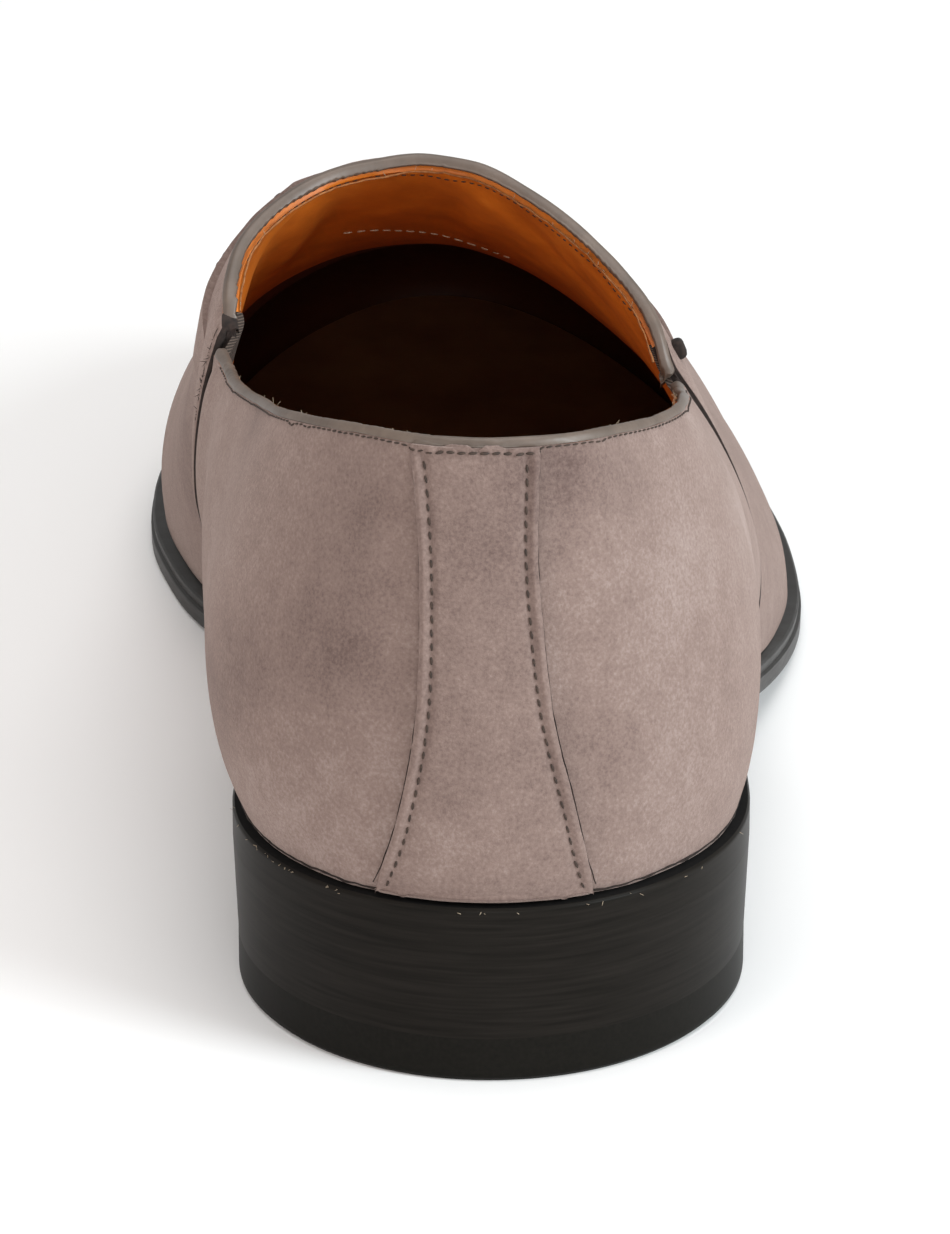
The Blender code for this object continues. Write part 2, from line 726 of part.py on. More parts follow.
def main():
    for obj in list(bpy.data.objects):
        bpy.data.objects.remove(obj)
    shoe = bpy.data.objects.new("loafer", None)
    bpy.context.scene.collection.objects.link(shoe)
    outsole(shoe)
    heel(shoe)
    insole(shoe)
    upper(shoe)
    back_strip(shoe)
    saddle_strap(shoe)
    gore("gore_lateral", LATERAL, shoe)
    gore("gore_medial", MEDIAL, shoe)
    bindings(shoe)
    spots = np.array([vertex.co for piece in shoe.children for vertex in piece.data.vertices])
    middle = (spots.min(axis=0) + spots.max(axis=0)) / 2
    shoe.location = (-middle[0], -middle[1], 0)


main()
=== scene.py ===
"""A right-foot suede loafer, dressed over its CAD frame and seen from behind."""

import math
import random
from collections import namedtuple

import bmesh
import bpy
import numpy as np
from mathutils import Matrix, Vector, kdtree, noise
from mathutils.bvhtree import BVHTree


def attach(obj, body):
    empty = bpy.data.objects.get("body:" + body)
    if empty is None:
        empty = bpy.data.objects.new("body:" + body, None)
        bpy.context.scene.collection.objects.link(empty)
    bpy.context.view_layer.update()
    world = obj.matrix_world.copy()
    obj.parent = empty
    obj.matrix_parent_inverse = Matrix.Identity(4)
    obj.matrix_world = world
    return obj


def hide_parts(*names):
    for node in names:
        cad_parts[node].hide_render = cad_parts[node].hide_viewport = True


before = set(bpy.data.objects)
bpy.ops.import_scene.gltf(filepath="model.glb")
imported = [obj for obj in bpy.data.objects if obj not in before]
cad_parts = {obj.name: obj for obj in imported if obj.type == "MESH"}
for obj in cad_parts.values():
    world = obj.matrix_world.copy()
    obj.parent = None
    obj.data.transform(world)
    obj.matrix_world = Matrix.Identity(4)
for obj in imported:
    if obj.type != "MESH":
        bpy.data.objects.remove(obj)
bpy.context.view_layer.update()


# The insole: a thin board under a brown calf sock, glued flat inside the shoe.
# It shows through the collar, in deep shade, a little lighter than the walls round it.

MM = 0.001


def linear(code):
    """sRGB hex to linear colour."""
    channels = [int(code[k : k + 2], 16) / 255 for k in (1, 3, 5)]
    return tuple(c / 12.92 if c <= 0.04045 else ((c + 0.055) / 1.055) ** 2.4 for c in channels) + (1.0,)


def add(tree, kind, inputs=None, **settings):
    """Adds a node with its settings, and links or sets its inputs."""
    node = tree.nodes.new(kind)
    for key, value in settings.items():
        setattr(node, key, value)
    for key, value in (inputs or {}).items():
        if isinstance(value, bpy.types.NodeSocket):
            tree.links.new(value, node.inputs[key])
        else:
            node.inputs[key].default_value = value
    return node


def finish_for(name):
    """A new Principled material: the material, its node tree, its shader and its Object coordinates."""
    material = bpy.data.materials.new(name)
    material.use_nodes = True
    tree = material.node_tree
    place = add(tree, "ShaderNodeTexCoord").outputs["Object"]
    return material, tree, tree.nodes["Principled BSDF"], place


def set_ramp(ramp, *stops):
    """Colour stops of a ramp, as (position, hex colour)."""
    points = ramp.color_ramp.elements
    while len(points) < len(stops):
        points.new(1)
    for point, (position, code) in zip(points, stops):
        point.position = position
        point.color = linear(code)


def quads_of(node_name):
    """A merged copy of a CAD node, with its triangles joined back into quads."""
    bm = bmesh.new()
    bm.from_mesh(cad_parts[node_name].data)
    bmesh.ops.remove_doubles(bm, verts=bm.verts, dist=0.001 * MM)
    bmesh.ops.join_triangles(bm, faces=bm.faces, angle_face_threshold=1.0, angle_shape_threshold=math.pi)
    return bm


def points_of(mesh, kind="co"):
    """The mesh's points, or their normals, one row each."""
    flat = np.empty(len(mesh.vertices) * 3, np.float32)
    mesh.vertices.foreach_get(kind, flat)
    return flat.reshape(-1, 3).astype(float)


def move_points(mesh, points):
    """Puts the mesh's points at these places."""
    mesh.vertices.foreach_set("co", points.astype(np.float32).ravel())
    mesh.update()


def smooth_piece(name, bm, levels, sharp_degrees, *materials):
    """An object whose smooth surface passes through the points of bm and keeps its sharp edges."""
    crease = bm.edges.layers.float.new("crease_edge")
    for edge in bm.edges:
        if len(edge.link_faces) == 2 and edge.calc_face_angle() > math.radians(sharp_degrees):
            edge[crease] = 1
    mesh = bpy.data.meshes.new(name)
    bm.to_mesh(mesh)
    bm.free()
    for material in materials:
        mesh.materials.append(material)
    piece = bpy.data.objects.new(name, mesh)
    bpy.context.scene.collection.objects.link(piece)
    subdivision = piece.modifiers.new("smooth", "SUBSURF")
    subdivision.levels = subdivision.render_levels = levels
    subdivision.use_limit_surface = False
    # Subdivision draws the surface in from its points, so twice they are moved out by what it misses.
    wanted = points_of(mesh)
    control = wanted.copy()
    for _ in range(2):
        depsgraph = bpy.context.evaluated_depsgraph_get()
        reached = points_of(piece.evaluated_get(depsgraph).data)[: len(wanted)]
        control += wanted - reached
        move_points(mesh, control)
    depsgraph = bpy.context.evaluated_depsgraph_get()
    piece.data = bpy.data.meshes.new_from_object(piece.evaluated_get(depsgraph))
    piece.modifiers.clear()
    piece.data.name = name
    piece.data.shade_smooth()
    piece.data.set_sharp_from_angle(angle=math.radians(max(sharp_degrees - 5, 30)))
    return piece


def fit_out(piece, slot, *nodes):
    """The piece rides on the shoe and stands for these CAD nodes, which it hides. The slot is not used."""
    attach(piece, "root")
    if nodes:
        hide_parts(*nodes)


# Vegetable-tanned calf, polished by hand: mid brown and even, with fine pores and a low sheen.
sock_calf, tree, shader, place = finish_for("brown_sock_calf")
cloud = add(tree, "ShaderNodeTexNoise", {"Vector": place, "Scale": 1 / (14 * MM), "Detail": 4})
ramp = add(tree, "ShaderNodeValToRGB", {"Fac": cloud.outputs["Fac"]})
set_ramp(ramp, (0.3, "#7f4d2c"), (0.75, "#9a623a"))
pores = add(tree, "ShaderNodeTexNoise", {"Vector": place, "Scale": 1 / (0.7 * MM), "Detail": 2})
bump = add(tree, "ShaderNodeBump", {"Height": pores.outputs["Fac"], "Strength": 0.25, "Distance": 0.1 * MM})
tree.links.new(ramp.outputs["Color"], shader.inputs["Base Color"])
tree.links.new(bump.outputs["Normal"], shader.inputs["Normal"])
shader.inputs["Roughness"].default_value = 0.6

insole = smooth_piece("insole", quads_of("insole"), 2, 50, sock_calf)
fit_out(insole, "insole_leather", "insole")


# The upper: taupe suede quarters and vamp, lasted over the insole, with a tan calf lining sewn inside.
# The vamp laps over the quarters with a raw edge. The nap lies in darker and lighter patches, partly painted
# shade and light.

# Suede, the buffed flesh side of calf: a short dense nap that scatters light evenly, goes pale at
# grazing angles and shows darker or lighter strokes where it was brushed. Its fibres are drawn coarser
# than real ones, so that their speckle shows.
suede, tree, shader, place = finish_for("taupe_suede")
# The tone from the points holds the nap patches, which are partly painted shade and light.
tone = add(tree, "ShaderNodeAttribute", attribute_name="nap_and_shade_tone")
cloud = add(
    tree, "ShaderNodeTexNoise", {"Vector": place, "Scale": 1 / (17 * MM), "Detail": 3, "Roughness": 0.55}
)
stroke = add(
    tree, "ShaderNodeTexNoise", {"Vector": place, "Scale": 1 / (4 * MM), "Detail": 4, "Roughness": 0.65}
)
speckle = add(
    tree, "ShaderNodeTexNoise", {"Vector": place, "Scale": 1 / (0.55 * MM), "Detail": 2, "Roughness": 0.7}
)
level = -0.08
for pattern, weight in ((cloud, 0.24), (stroke, 0.32), (speckle, 0.6), (tone, 0.42)):
    terms = {0: pattern.outputs["Fac"], 1: weight, 2: level}
    level = add(tree, "ShaderNodeMath", terms, operation="MULTIPLY_ADD").outputs[0]
ramp = add(tree, "ShaderNodeValToRGB", {"Fac": level})
set_ramp(ramp, (0.1, "#574743"), (0.5, "#7c6a63"), (0.9, "#9c8d87"))
fibre = add(
    tree, "ShaderNodeTexNoise", {"Vector": place, "Scale": 1 / (0.35 * MM), "Detail": 3, "Roughness": 0.7}
)
bump = add(tree, "ShaderNodeBump", {"Height": fibre.outputs["Fac"], "Strength": 0.55, "Distance": 0.25 * MM})
tree.links.new(ramp.outputs["Color"], shader.inputs["Base Color"])
tree.links.new(bump.outputs["Normal"], shader.inputs["Normal"])
shader.inputs["Roughness"].default_value = 0.95
shader.inputs["Specular IOR Level"].default_value = 0.15
shader.inputs["Sheen Weight"].default_value = 0.3
shader.inputs["Sheen Roughness"].default_value = 0.45
shader.inputs["Sheen Tint"].default_value = linear("#dcc8bf")

# Aniline-dyed lining calf: warm tan with soft cloudy dye. Ahead of the tongue, from a clean line on, it is
# painted dark brown: painted shade of the deep forefoot inside.
lining, tree, shader, place = finish_for("tan_lining_calf")
cloud = add(
    tree, "ShaderNodeTexNoise", {"Vector": place, "Scale": 1 / (9 * MM), "Detail": 4, "Roughness": 0.6}
)
ramp = add(tree, "ShaderNodeValToRGB", {"Fac": cloud.outputs["Fac"]})
set_ramp(ramp, (0.25, "#b05a10"), (0.6, "#ce711b"), (0.85, "#df882e"))
# Painted shade: ahead of a line across the tongue the lining's colour turns dark brown.
ahead = add(tree, "ShaderNodeVectorMath", {0: place, 1: (-0.5, 1, 0)}, operation="DOT_PRODUCT")
forefoot_shade = add(
    tree,
    "ShaderNodeMapRange",
    {"Value": ahead.outputs["Value"], "From Min": 28.5 * MM, "From Max": 29.5 * MM},
)
colour = add(
    tree,
    "ShaderNodeMix",
    {"Factor": forefoot_shade.outputs[0], 6: ramp.outputs["Color"], 7: linear("#542a12")},
    data_type="RGBA",
)
pores = add(tree, "ShaderNodeTexNoise", {"Vector": place, "Scale": 1 / (0.5 * MM), "Detail": 2})
bump = add(tree, "ShaderNodeBump", {"Height": pores.outputs["Fac"], "Strength": 0.3, "Distance": 0.1 * MM})
tree.links.new(colour.outputs[2], shader.inputs["Base Color"])
tree.links.new(bump.outputs["Normal"], shader.inputs["Normal"])
shader.inputs["Roughness"].default_value = 0.55

# Cut suede: the dyed fibre core, darker than the nap and quite rough. It also colours the dark strands of
# painted shade along the vamp's foot, the strip's edges and the heel seat.
cut_suede_and_shade, tree, shader, place = finish_for("cut_suede_edge_and_shade")
fray = add(tree, "ShaderNodeTexNoise", {"Vector": place, "Scale": 1 / (0.8 * MM), "Detail": 3})
ramp = add(tree, "ShaderNodeValToRGB", {"Fac": fray.outputs["Fac"]})
set_ramp(ramp, (0.3, "#150e0b"), (0.75, "#2f231e"))
tree.links.new(ramp.outputs["Color"], shader.inputs["Base Color"])
shader.inputs["Roughness"].default_value = 1.0

HEEL_MIDDLE = Vector((3, -105, 45)) * MM
TOE_MIDDLE = Vector((-6, 90, 18)) * MM


def outward_at(spot):
    """The way out from the middle of the shoe through a spot."""
    along = (TOE_MIDDLE - HEEL_MIDDLE).normalized()
    reach = min(max((spot - HEEL_MIDDLE).dot(along), 0), (TOE_MIDDLE - HEEL_MIDDLE).length)
    return (spot - HEEL_MIDDLE - along * reach).normalized()


# Faces that look inwards are lined, and so is the rim under the bindings. Beside the gores the rim and
# the ends of the notch are cut suede.
SUEDE, LINING, CUT = 0, 1, 2
LOOKS_IN = -0.4
LOOKS_ALONG = 0.6
UNDER_BINDING = 0.9 * MM
NOTCH_BACK = -63 * MM
NOTCH_RIM_BACK = -58 * MM
NOTCH_FRONT = -54 * MM
NOTCH_FOOT = 57 * MM
shell = quads_of("upper")
binding_skins = []
for name in ("collar_binding", "tongue_binding"):
    form = quads_of(name)
    binding_skins.append(BVHTree.FromBMesh(form))
    form.free()
for face in shell.faces:
    spot = face.calc_center_median()
    facing = outward_at(spot).dot(face.normal)
    face.material_index = LINING if facing < LOOKS_IN else SUEDE
    if min(skin.find_nearest(spot)[3] for skin in binding_skins) < UNDER_BINDING:
        face.material_index = CUT if NOTCH_RIM_BACK < spot.y < NOTCH_FRONT else LINING
    elif NOTCH_BACK < spot.y < NOTCH_FRONT and spot.z > NOTCH_FOOT and abs(face.normal.y) > LOOKS_ALONG:
        face.material_index = CUT

# The vamp's raw edge is the narrow face of the step on to the quarter, and its foot a line up each side.
STEP_BACK = -62 * MM
STEP_FRONT = -36 * MM
STEP_LENGTH = 3 * MM
STEP_TURN = math.radians(55)
vamp_feet = {"lateral": [], "medial": []}
for edge in shell.edges:
    middle = (edge.verts[0].co + edge.verts[1].co) / 2
    beside_gore = STEP_BACK < middle.y < STEP_FRONT and edge.calc_length() > STEP_LENGTH
    if beside_gore and not edge.is_convex and edge.calc_face_angle() > STEP_TURN:
        min(edge.link_faces, key=lambda face: face.calc_area()).material_index = CUT
        vamp_feet["lateral" if middle.x > 0 else "medial"] += [vertex.co.copy() for vertex in edge.verts]
for side, points in vamp_feet.items():
    vamp_feet[side] = sorted({point.to_tuple(6): point for point in points}.values(), key=lambda p: p.z)

upper = smooth_piece("upper", shell, 2, 48, suede, lining, cut_suede_and_shade)

# Soft creases and swells of the suede, and folds of the loose lining under the tongue, each from one
# end to the other, in millimetres. Depth is into the leather. The last two creases are the broad
# hollows that the gores pull into the quarter.
Crease = namedtuple("Crease", "x0 y0 z0 x1 y1 z1 width depth")
CREASES = (
    Crease(35, -88, 74, 38, -84, 52, 3.4, 0.35),
    Crease(36, -78, 70, 40, -72, 50, 3.0, 0.30),
    Crease(-31, -100, 70, -34, -96, 48, 5.0, 0.30),
    Crease(-29, -120, 60, -27, -124, 42, 6.0, 0.25),
    Crease(31, -122, 62, 33, -118, 40, 7.0, -0.25),
    Crease(-40, -30, 42, -42, 10, 30, 5.0, 0.35),
    Crease(-28, 22, 46, 12, 30, 48, 4.5, 0.40),
    Crease(-30, 38, 40, 14, 46, 42, 4.5, 0.35),
    Crease(44, 10, 24, 44, 40, 22, 5.0, 0.30),
    Crease(-38, -67, 72, -34, -70, 14, 11.0, 1.6),
    Crease(36, -80, 66, 41, -82, 18, 15.0, 1.3),
)
FOLDS = (
    Crease(-23.5, -22, 83, -30, 0, 66, 3.4, -1.3),
    Crease(-18.5, -19, 84, -25, 3, 68, 2.6, 0.7),
    Crease(-27, -32, 84.5, -32, -23, 74, 2.2, 0.6),
    Crease(-9, -22, 86, -12, -6, 76, 3.4, -0.6),
    Crease(-1, -23, 85, -4, 0, 73.5, 2.4, 0.7),
    Crease(3.5, -24, 84.5, 1, -2, 74, 3.0, -0.6),
    Crease(8.5, -27, 82.7, 14, -18, 72, 2.2, 0.6),
    Crease(13, -32, 82, 18, -26, 73, 2.8, -0.6),
    Crease(18.4, -43.6, 80.8, 23.5, -42.4, 72.5, 2.2, 0.6),
    Crease(22, -48, 79, 26, -46, 71, 2.4, -0.5),
)
END_SHARE = 0.08


def depth_of(rows, spots):
    """How deep the creases of a table are at some spots. Each crease is shallow at its ends."""
    depth = np.zeros(len(spots))
    for row in rows:
        start = np.array(row[0:3]) * MM
        run = np.array(row[3:6]) * MM - start
        share = np.clip((spots - start) @ run / (run @ run), 0, 1)
        off = np.linalg.norm(spots - start - share[:, None] * run, axis=1)
        ends = np.sin(np.pi * np.clip(share, END_SHARE, 1 - END_SHARE)) ** 0.7
        depth += row.depth * MM * ends * np.exp(-((off / (row.width * MM)) ** 2))
    return depth


SWELL = 0.18 * MM
SWELL_SIZE = 26 * MM
places = points_of(upper.data)
normals = points_of(upper.data, "normal")
lined = np.zeros(len(places), bool)
for polygon in upper.data.polygons:
    if polygon.material_index == LINING:
        lined[list(polygon.vertices)] = True
swell = SWELL * np.array([noise.noise(Vector(p) / SWELL_SIZE) for p in places])
push = np.where(lined, -depth_of(FOLDS, places), swell - depth_of(CREASES, places))

# Beside the medial gore the vamp's edge gapes, from low on the side to just under the rim.
GAPE = 1.2 * MM
GAPE_REACH = 7 * MM
GAPE_HEIGHTS = np.array((34, 48, 75, 80)) * MM
GAPE_SHARES = (0, 1, 1, 0)
HELD_FOOT = 0.7 * MM
SEAM_SLACK = 0.05 * MM
feet = np.array([tuple(point) for point in vamp_feet["medial"]])
seam_y = np.interp(places[:, 2], feet[:, 2], feet[:, 1])
seam_x = np.interp(places[:, 2], feet[:, 2], feet[:, 0])
past_seam = places[:, 1] - seam_y
off_foot = np.hypot(past_seam, places[:, 0] - seam_x)
gape = np.interp(places[:, 2], GAPE_HEIGHTS, GAPE_SHARES)
gape *= np.clip(off_foot / HELD_FOOT, 0, 1) * np.exp(-((past_seam / GAPE_REACH) ** 2))
push += np.where(~lined & (places[:, 0] < 0) & (past_seam > -SEAM_SLACK), GAPE * gape, 0)
move_points(upper.data, places + normals * push[:, None])

# Patches of nap tone, in millimetres: partly nap brushed dark or light, partly painted shade and light,
# mostly darker on the medial side, away from the lamps, and lighter on the outer lateral side.
Patch = namedtuple("Patch", "x y z radius tone")
NAP_AND_SHADE_PATCHES = (
    Patch(-30, -100, 84, 9, -0.75),
    Patch(-15, -138, 76, 9, -0.40),
    Patch(-15, -139, 58, 9, -0.50),
    Patch(-28, -124, 50, 9, -0.45),
    Patch(-33, -113, 42, 8, -0.45),
    Patch(-26, -128, 36, 8, 0.20),
    Patch(13, -141, 84, 6, -0.65),
    Patch(20, -132, 80, 8, -0.30),
    Patch(16, -142, 46, 7, -0.30),
    Patch(32, -118, 40, 13, -0.10),
    Patch(45, -40, 45, 14, 0.35),
    Patch(26, -128, 66, 11, 0.30),
    Patch(38, -95, 62, 10, 0.45),
    Patch(-3, -148, 34, 6, 0.35),
    Patch(3, -148, 74, 9, -0.20),
    Patch(-40, -32, 48, 16, -0.55),
    Patch(-40, 10, 30, 18, -0.40),
    Patch(10, 60, 40, 22, 0.35),
    Patch(30, 20, 40, 20, -0.25),
    Patch(-10, 110, 30, 18, -0.30),
)


def tone_nap_and_shade(piece, all_over=0.0):
    """Gives the piece's points a tone for the suede: brushed nap, partly painted shade and light."""
    spots = points_of(piece.data)
    tone = np.full(len(spots), all_over)
    for patch in NAP_AND_SHADE_PATCHES:
        away = np.linalg.norm(spots - np.array(patch[0:3]) * MM, axis=1)
        tone += patch.tone * np.exp(-((away / (patch.radius * MM)) ** 2))
    layer = piece.data.attributes.new("nap_and_shade_tone", "FLOAT", "POINT")
    layer.data.foreach_set("value", tone.astype(np.float32))


tone_nap_and_shade(upper)
fit_out(upper, "suede", "upper")


# The foot of the vamp's raw edge: a dark uneven strand in the corner where the cut suede meets the quarter,
# painted shadow of the step, seen as an uneven dark line from the gore down to the sole.


def skin_of(*pieces):
    """A search tree over the faces of some pieces."""
    corners, faces = [], []
    for piece in pieces:
        first = len(corners)
        corners += [vertex.co.copy() for vertex in piece.data.vertices]
        faces += [[first + k for k in polygon.vertices] for polygon in piece.data.polygons]
    return BVHTree.FromPolygons(corners, faces)


def resample(points, step):
    """Points at an even spacing along a line of points."""
    spots = np.array([tuple(p) for p in points])
    lengths = np.concatenate(([0], np.cumsum(np.linalg.norm(np.diff(spots, axis=0), axis=1))))
    count = max(2, round(lengths[-1] / step) + 1)
    wanted = np.linspace(0, lengths[-1], count)
    return [Vector(np.array([np.interp(w, lengths, spots[:, k]) for k in range(3)])) for w in wanted]


STRAND_SIDES = 6
WAVER_SIZE = 1.6 * MM
THICK_SIZE = 2.2 * MM
# The strands waver by noise vectors, which change from run to run unless they have a seed.
noise.seed_set(5)


def rope(bm, points, radius, waver, seed):
    """A thin closed strand along points, which wavers and is uneven in thickness."""
    rings = []
    for k, point in enumerate(points):
        ahead = points[min(k + 1, len(points) - 1)] - points[max(k - 1, 0)]
        turn = ahead.to_track_quat("Z", "Y").to_matrix().to_4x4()
        shake = noise.noise_vector(point / WAVER_SIZE + Vector((seed, 0, 0))) * waver
        size = radius * (0.85 + 0.4 * noise.noise(point / THICK_SIZE + Vector((0, seed, 0))))
        pose = Matrix.Translation(point + shake) @ turn
        ring = bmesh.ops.create_circle(bm, segments=STRAND_SIDES, radius=size, matrix=pose)
        rings.append(ring["verts"])
    for first, second in zip(rings, rings[1:]):
        for k in range(STRAND_SIDES):
            beside = (k + 1) % STRAND_SIDES
            bm.faces.new((first[k], first[beside], second[beside], second[k]))
    bm.faces.new(rings[0][::-1])
    bm.faces.new(rings[-1])


def piece_from(name, bm, material):
    """An object of one material, smooth, with its faces turned out."""
    bmesh.ops.recalc_face_normals(bm, faces=bm.faces)
    mesh = bpy.data.meshes.new(name)
    bm.to_mesh(mesh)
    bm.free()
    mesh.shade_smooth()
    mesh.materials.append(material)
    piece = bpy.data.objects.new(name, mesh)
    bpy.context.scene.collection.objects.link(piece)
    return piece


upper_skin = skin_of(upper)
strands = bmesh.new()
for seed, points in enumerate(vamp_feet.values()):
    foot = [upper_skin.find_nearest(point)[0] for point in resample(points, 0.9 * MM)]
    rope(strands, foot, radius=0.2 * MM, waver=0.12 * MM, seed=seed)
fit_out(piece_from("vamp_foot_painted_shadow", strands, cut_suede_and_shade), "suede")


# The back strip: a suede strip, waisted in the middle, sewn over the quarters' seam with a row of dark
# thread near each edge. Its cut edges stand proud of the quarters.

STRIP_MIDDLE = 1.5 * MM
STRIP_REACH = 24 * MM
BEHIND = -200 * MM
SIGHT = 100 * MM
strip = smooth_piece("back_strip", quads_of("back_strip"), 3, 48, suede)
strip_skin = skin_of(strip)


def seen_from_behind(skin, x, z):
    """The spot of a skin that is seen first from behind, or None."""
    return skin.ray_cast(Vector((x, BEHIND, z)), Vector((0, 1, 0)), SIGHT)[0]


def strip_edge(z, way):
    """X of the strip's edge at a height, found by halving the span that holds it."""
    inside = STRIP_MIDDLE
    outside = STRIP_MIDDLE + way * STRIP_REACH
    for _ in range(16):
        middle = (inside + outside) / 2
        if seen_from_behind(strip_skin, middle, z) is None:
            outside = middle
        else:
            inside = middle
    return inside


# The thread pulls a shallow groove, the flange outside it stands up, and the strip's foot is tucked in
# behind the heel's top edge.
STITCH_INSET = 1.55 * MM
GROOVE_DEPTH = 0.34 * MM
GROOVE_HEIGHTS = np.array((27, 30)) * MM
FLANGE_INSET = 0.55 * MM
FLANGE_LIFT = 0.45 * MM
FLANGE_REACH = 4 * MM
FOLD_WIDTH = 0.5 * MM
FOOT_TUCK = 0.9 * MM
TUCK_HEIGHTS = np.array((25, 30)) * MM
STRIP_WAVE = 0.1 * MM
STRIP_WAVE_SIZE = 3.5 * MM
heights = np.linspace(24, 88, 65) * MM
edges = {way: np.array([strip_edge(z, way) for z in heights]) for way in (-1, 1)}
places = points_of(strip.data)
normals = points_of(strip.data, "normal")
push = np.array([STRIP_WAVE * noise.noise(Vector(p) / STRIP_WAVE_SIZE) for p in places])
above_seat = np.interp(places[:, 2], GROOVE_HEIGHTS, (0, 1))
for way in (-1, 1):
    inset = way * (np.interp(places[:, 2], heights, edges[way]) - places[:, 0])
    flange = FLANGE_LIFT * np.exp(-(((inset - FLANGE_INSET) / FOLD_WIDTH) ** 2))
    push += np.where(inset < FLANGE_REACH, flange, 0)
    push -= GROOVE_DEPTH * above_seat * np.exp(-(((inset - STITCH_INSET) / FOLD_WIDTH) ** 2))
push -= FOOT_TUCK * np.interp(places[:, 2], TUCK_HEIGHTS, (1, 0))
move_points(strip.data, places + normals * push[:, None])
tone_nap_and_shade(strip, all_over=-0.18)
fit_out(strip, "suede", "back_strip")
strip_skin = skin_of(strip)

# Waxed polyester thread, dark umber: small tight stitches pulled into the nap.
thread, tree, shader, place = finish_for("dark_waxed_thread")
twist = add(tree, "ShaderNodeTexNoise", {"Vector": place, "Scale": 1 / (0.4 * MM), "Detail": 1})
ramp = add(tree, "ShaderNodeValToRGB", {"Fac": twist.outputs["Fac"]})
set_ramp(ramp, (0.3, "#20140c"), (0.8, "#3c2a1d"))
tree.links.new(ramp.outputs["Color"], shader.inputs["Base Color"])
shader.inputs["Roughness"].default_value = 0.7

SLANT = 6
SLANT_SWAY = 5
LENGTH_SWAY = 0.15


def sew(bm, line, skin, length, gap, width, sink, seed):
    """Stitches along a line, laid on a skin: small flat grains, each a little off the line."""
    spots = resample(line, length + gap)
    for k, spot in enumerate(spots[:-1]):
        middle = (spot + spots[k + 1]) / 2
        hit, normal = skin.find_nearest(middle)[:2]
        ahead = (spots[k + 1] - spot).normalized()
        ahead = (ahead - normal * ahead.dot(normal)).normalized()
        sway = noise.noise(Vector((k * 0.73, seed, 0.5)))
        ahead = Matrix.Rotation(math.radians(SLANT + SLANT_SWAY * sway), 3, normal) @ ahead
        side = normal.cross(ahead)
        size = 1 + LENGTH_SWAY * noise.noise(Vector((k * 1.31, seed, 7.5)))
        turn = Matrix((ahead * length * size, side * width, normal * width)).transposed().to_4x4()
        centre = hit + normal * (width / 2 - sink)
        bmesh.ops.create_icosphere(bm, subdivisions=2, radius=0.5, matrix=Matrix.Translation(centre) @ turn)


STRIP_TOP = 87 * MM


def along_strip(skin, way, inset, lowest):
    """Spots of a skin along one edge of the strip, this far in from it, above a lowest height."""
    line = []
    for z, x in zip(heights, edges[way]):
        spot = seen_from_behind(skin, x - way * inset, z)
        if spot is not None and lowest < z < STRIP_TOP:
            line.append(spot)
    return line


stitches = bmesh.new()
for seed, way in enumerate((-1, 1)):
    line = along_strip(strip_skin, way, STITCH_INSET, 25.5 * MM)
    sew(stitches, line, strip_skin, 1.15 * MM, gap=0.7 * MM, width=0.33 * MM, sink=0.06 * MM, seed=seed)
fit_out(piece_from("back_strip_stitches", stitches, thread), "suede")

# Dark strands lie just outside the strip's edges, painted shadow where the edges stand proud. Along the foot
# of the suede round the heel they are partly loose fibres and partly painted shade over the heel's top edge.
STRIP_SHADE_OUT = 0.06 * MM
HEEL_CENTRE = Vector((3, -108, 0)) * MM
HEEL_REACH = 80 * MM
SUEDE_FOOT = Vector((0, 0, 26.1)) * MM
strands = bmesh.new()
for seed, way in enumerate((-1, 1)):
    line = along_strip(upper_skin, way, -STRIP_SHADE_OUT, 26 * MM)
    rope(strands, resample(line, 0.8 * MM), radius=0.1 * MM, waver=0.1 * MM, seed=30 + seed)
suede_skin = skin_of(upper, strip)
seat = []
for turn in np.radians(np.linspace(-180, 0, 121)):
    out = Vector((math.cos(turn), math.sin(turn), 0))
    spot = suede_skin.ray_cast(HEEL_CENTRE + out * HEEL_REACH + SUEDE_FOOT, -out, HEEL_REACH)[0]
    if spot is not None:
        seat.append(spot)
rope(strands, resample(seat, 0.8 * MM), radius=0.22 * MM, waver=0.2 * MM, seed=33)
fit_out(piece_from("suede_fibres_and_painted_shade", strands, cut_suede_and_shade), "suede")


# The gores: ribbed elastic let into the notch between quarter and vamp, sewn behind both edges.
# They sit a little proud of their seat, so that their ribs show in the notch.

# Woven elastic: dark taupe, with fine rubber ribs that lie level, the way it stretches. The wave
# texture runs through 20 radians in each unit of its scale.
RIB_SPACING = 0.3184 * MM
WAVE_RADIANS = 20
elastic, tree, shader, place = finish_for("ribbed_elastic")
ribs = add(
    tree,
    "ShaderNodeTexWave",
    {"Vector": place, "Scale": math.tau / (WAVE_RADIANS * RIB_SPACING), "Distortion": 0.6},
    bands_direction="Z",
)
ramp = add(tree, "ShaderNodeValToRGB", {"Fac": ribs.outputs["Fac"]})
set_ramp(ramp, (0.2, "#2f2620"), (0.8, "#594c43"))
bump = add(tree, "ShaderNodeBump", {"Height": ribs.outputs["Fac"], "Strength": 0.8, "Distance": 0.3 * MM})
tree.links.new(ramp.outputs["Color"], shader.inputs["Base Color"])
tree.links.new(bump.outputs["Normal"], shader.inputs["Normal"])
shader.inputs["Roughness"].default_value = 0.9

GORE_OUT = 1.0 * MM
for side in ("lateral", "medial"):
    gore = smooth_piece("gore_" + side, quads_of("gore_" + side), 3, 48, elastic)
    places = points_of(gore.data)
    places += GORE_OUT * np.array([outward_at(Vector(p)) for p in places])
    move_points(gore.data, places)
    fit_out(gore, "elastic", "gore_" + side)


# The bindings: a narrow strip of smooth taupe calf rolled over the raw topline, one round the collar
# and one round the tongue, each sewn along its foot.

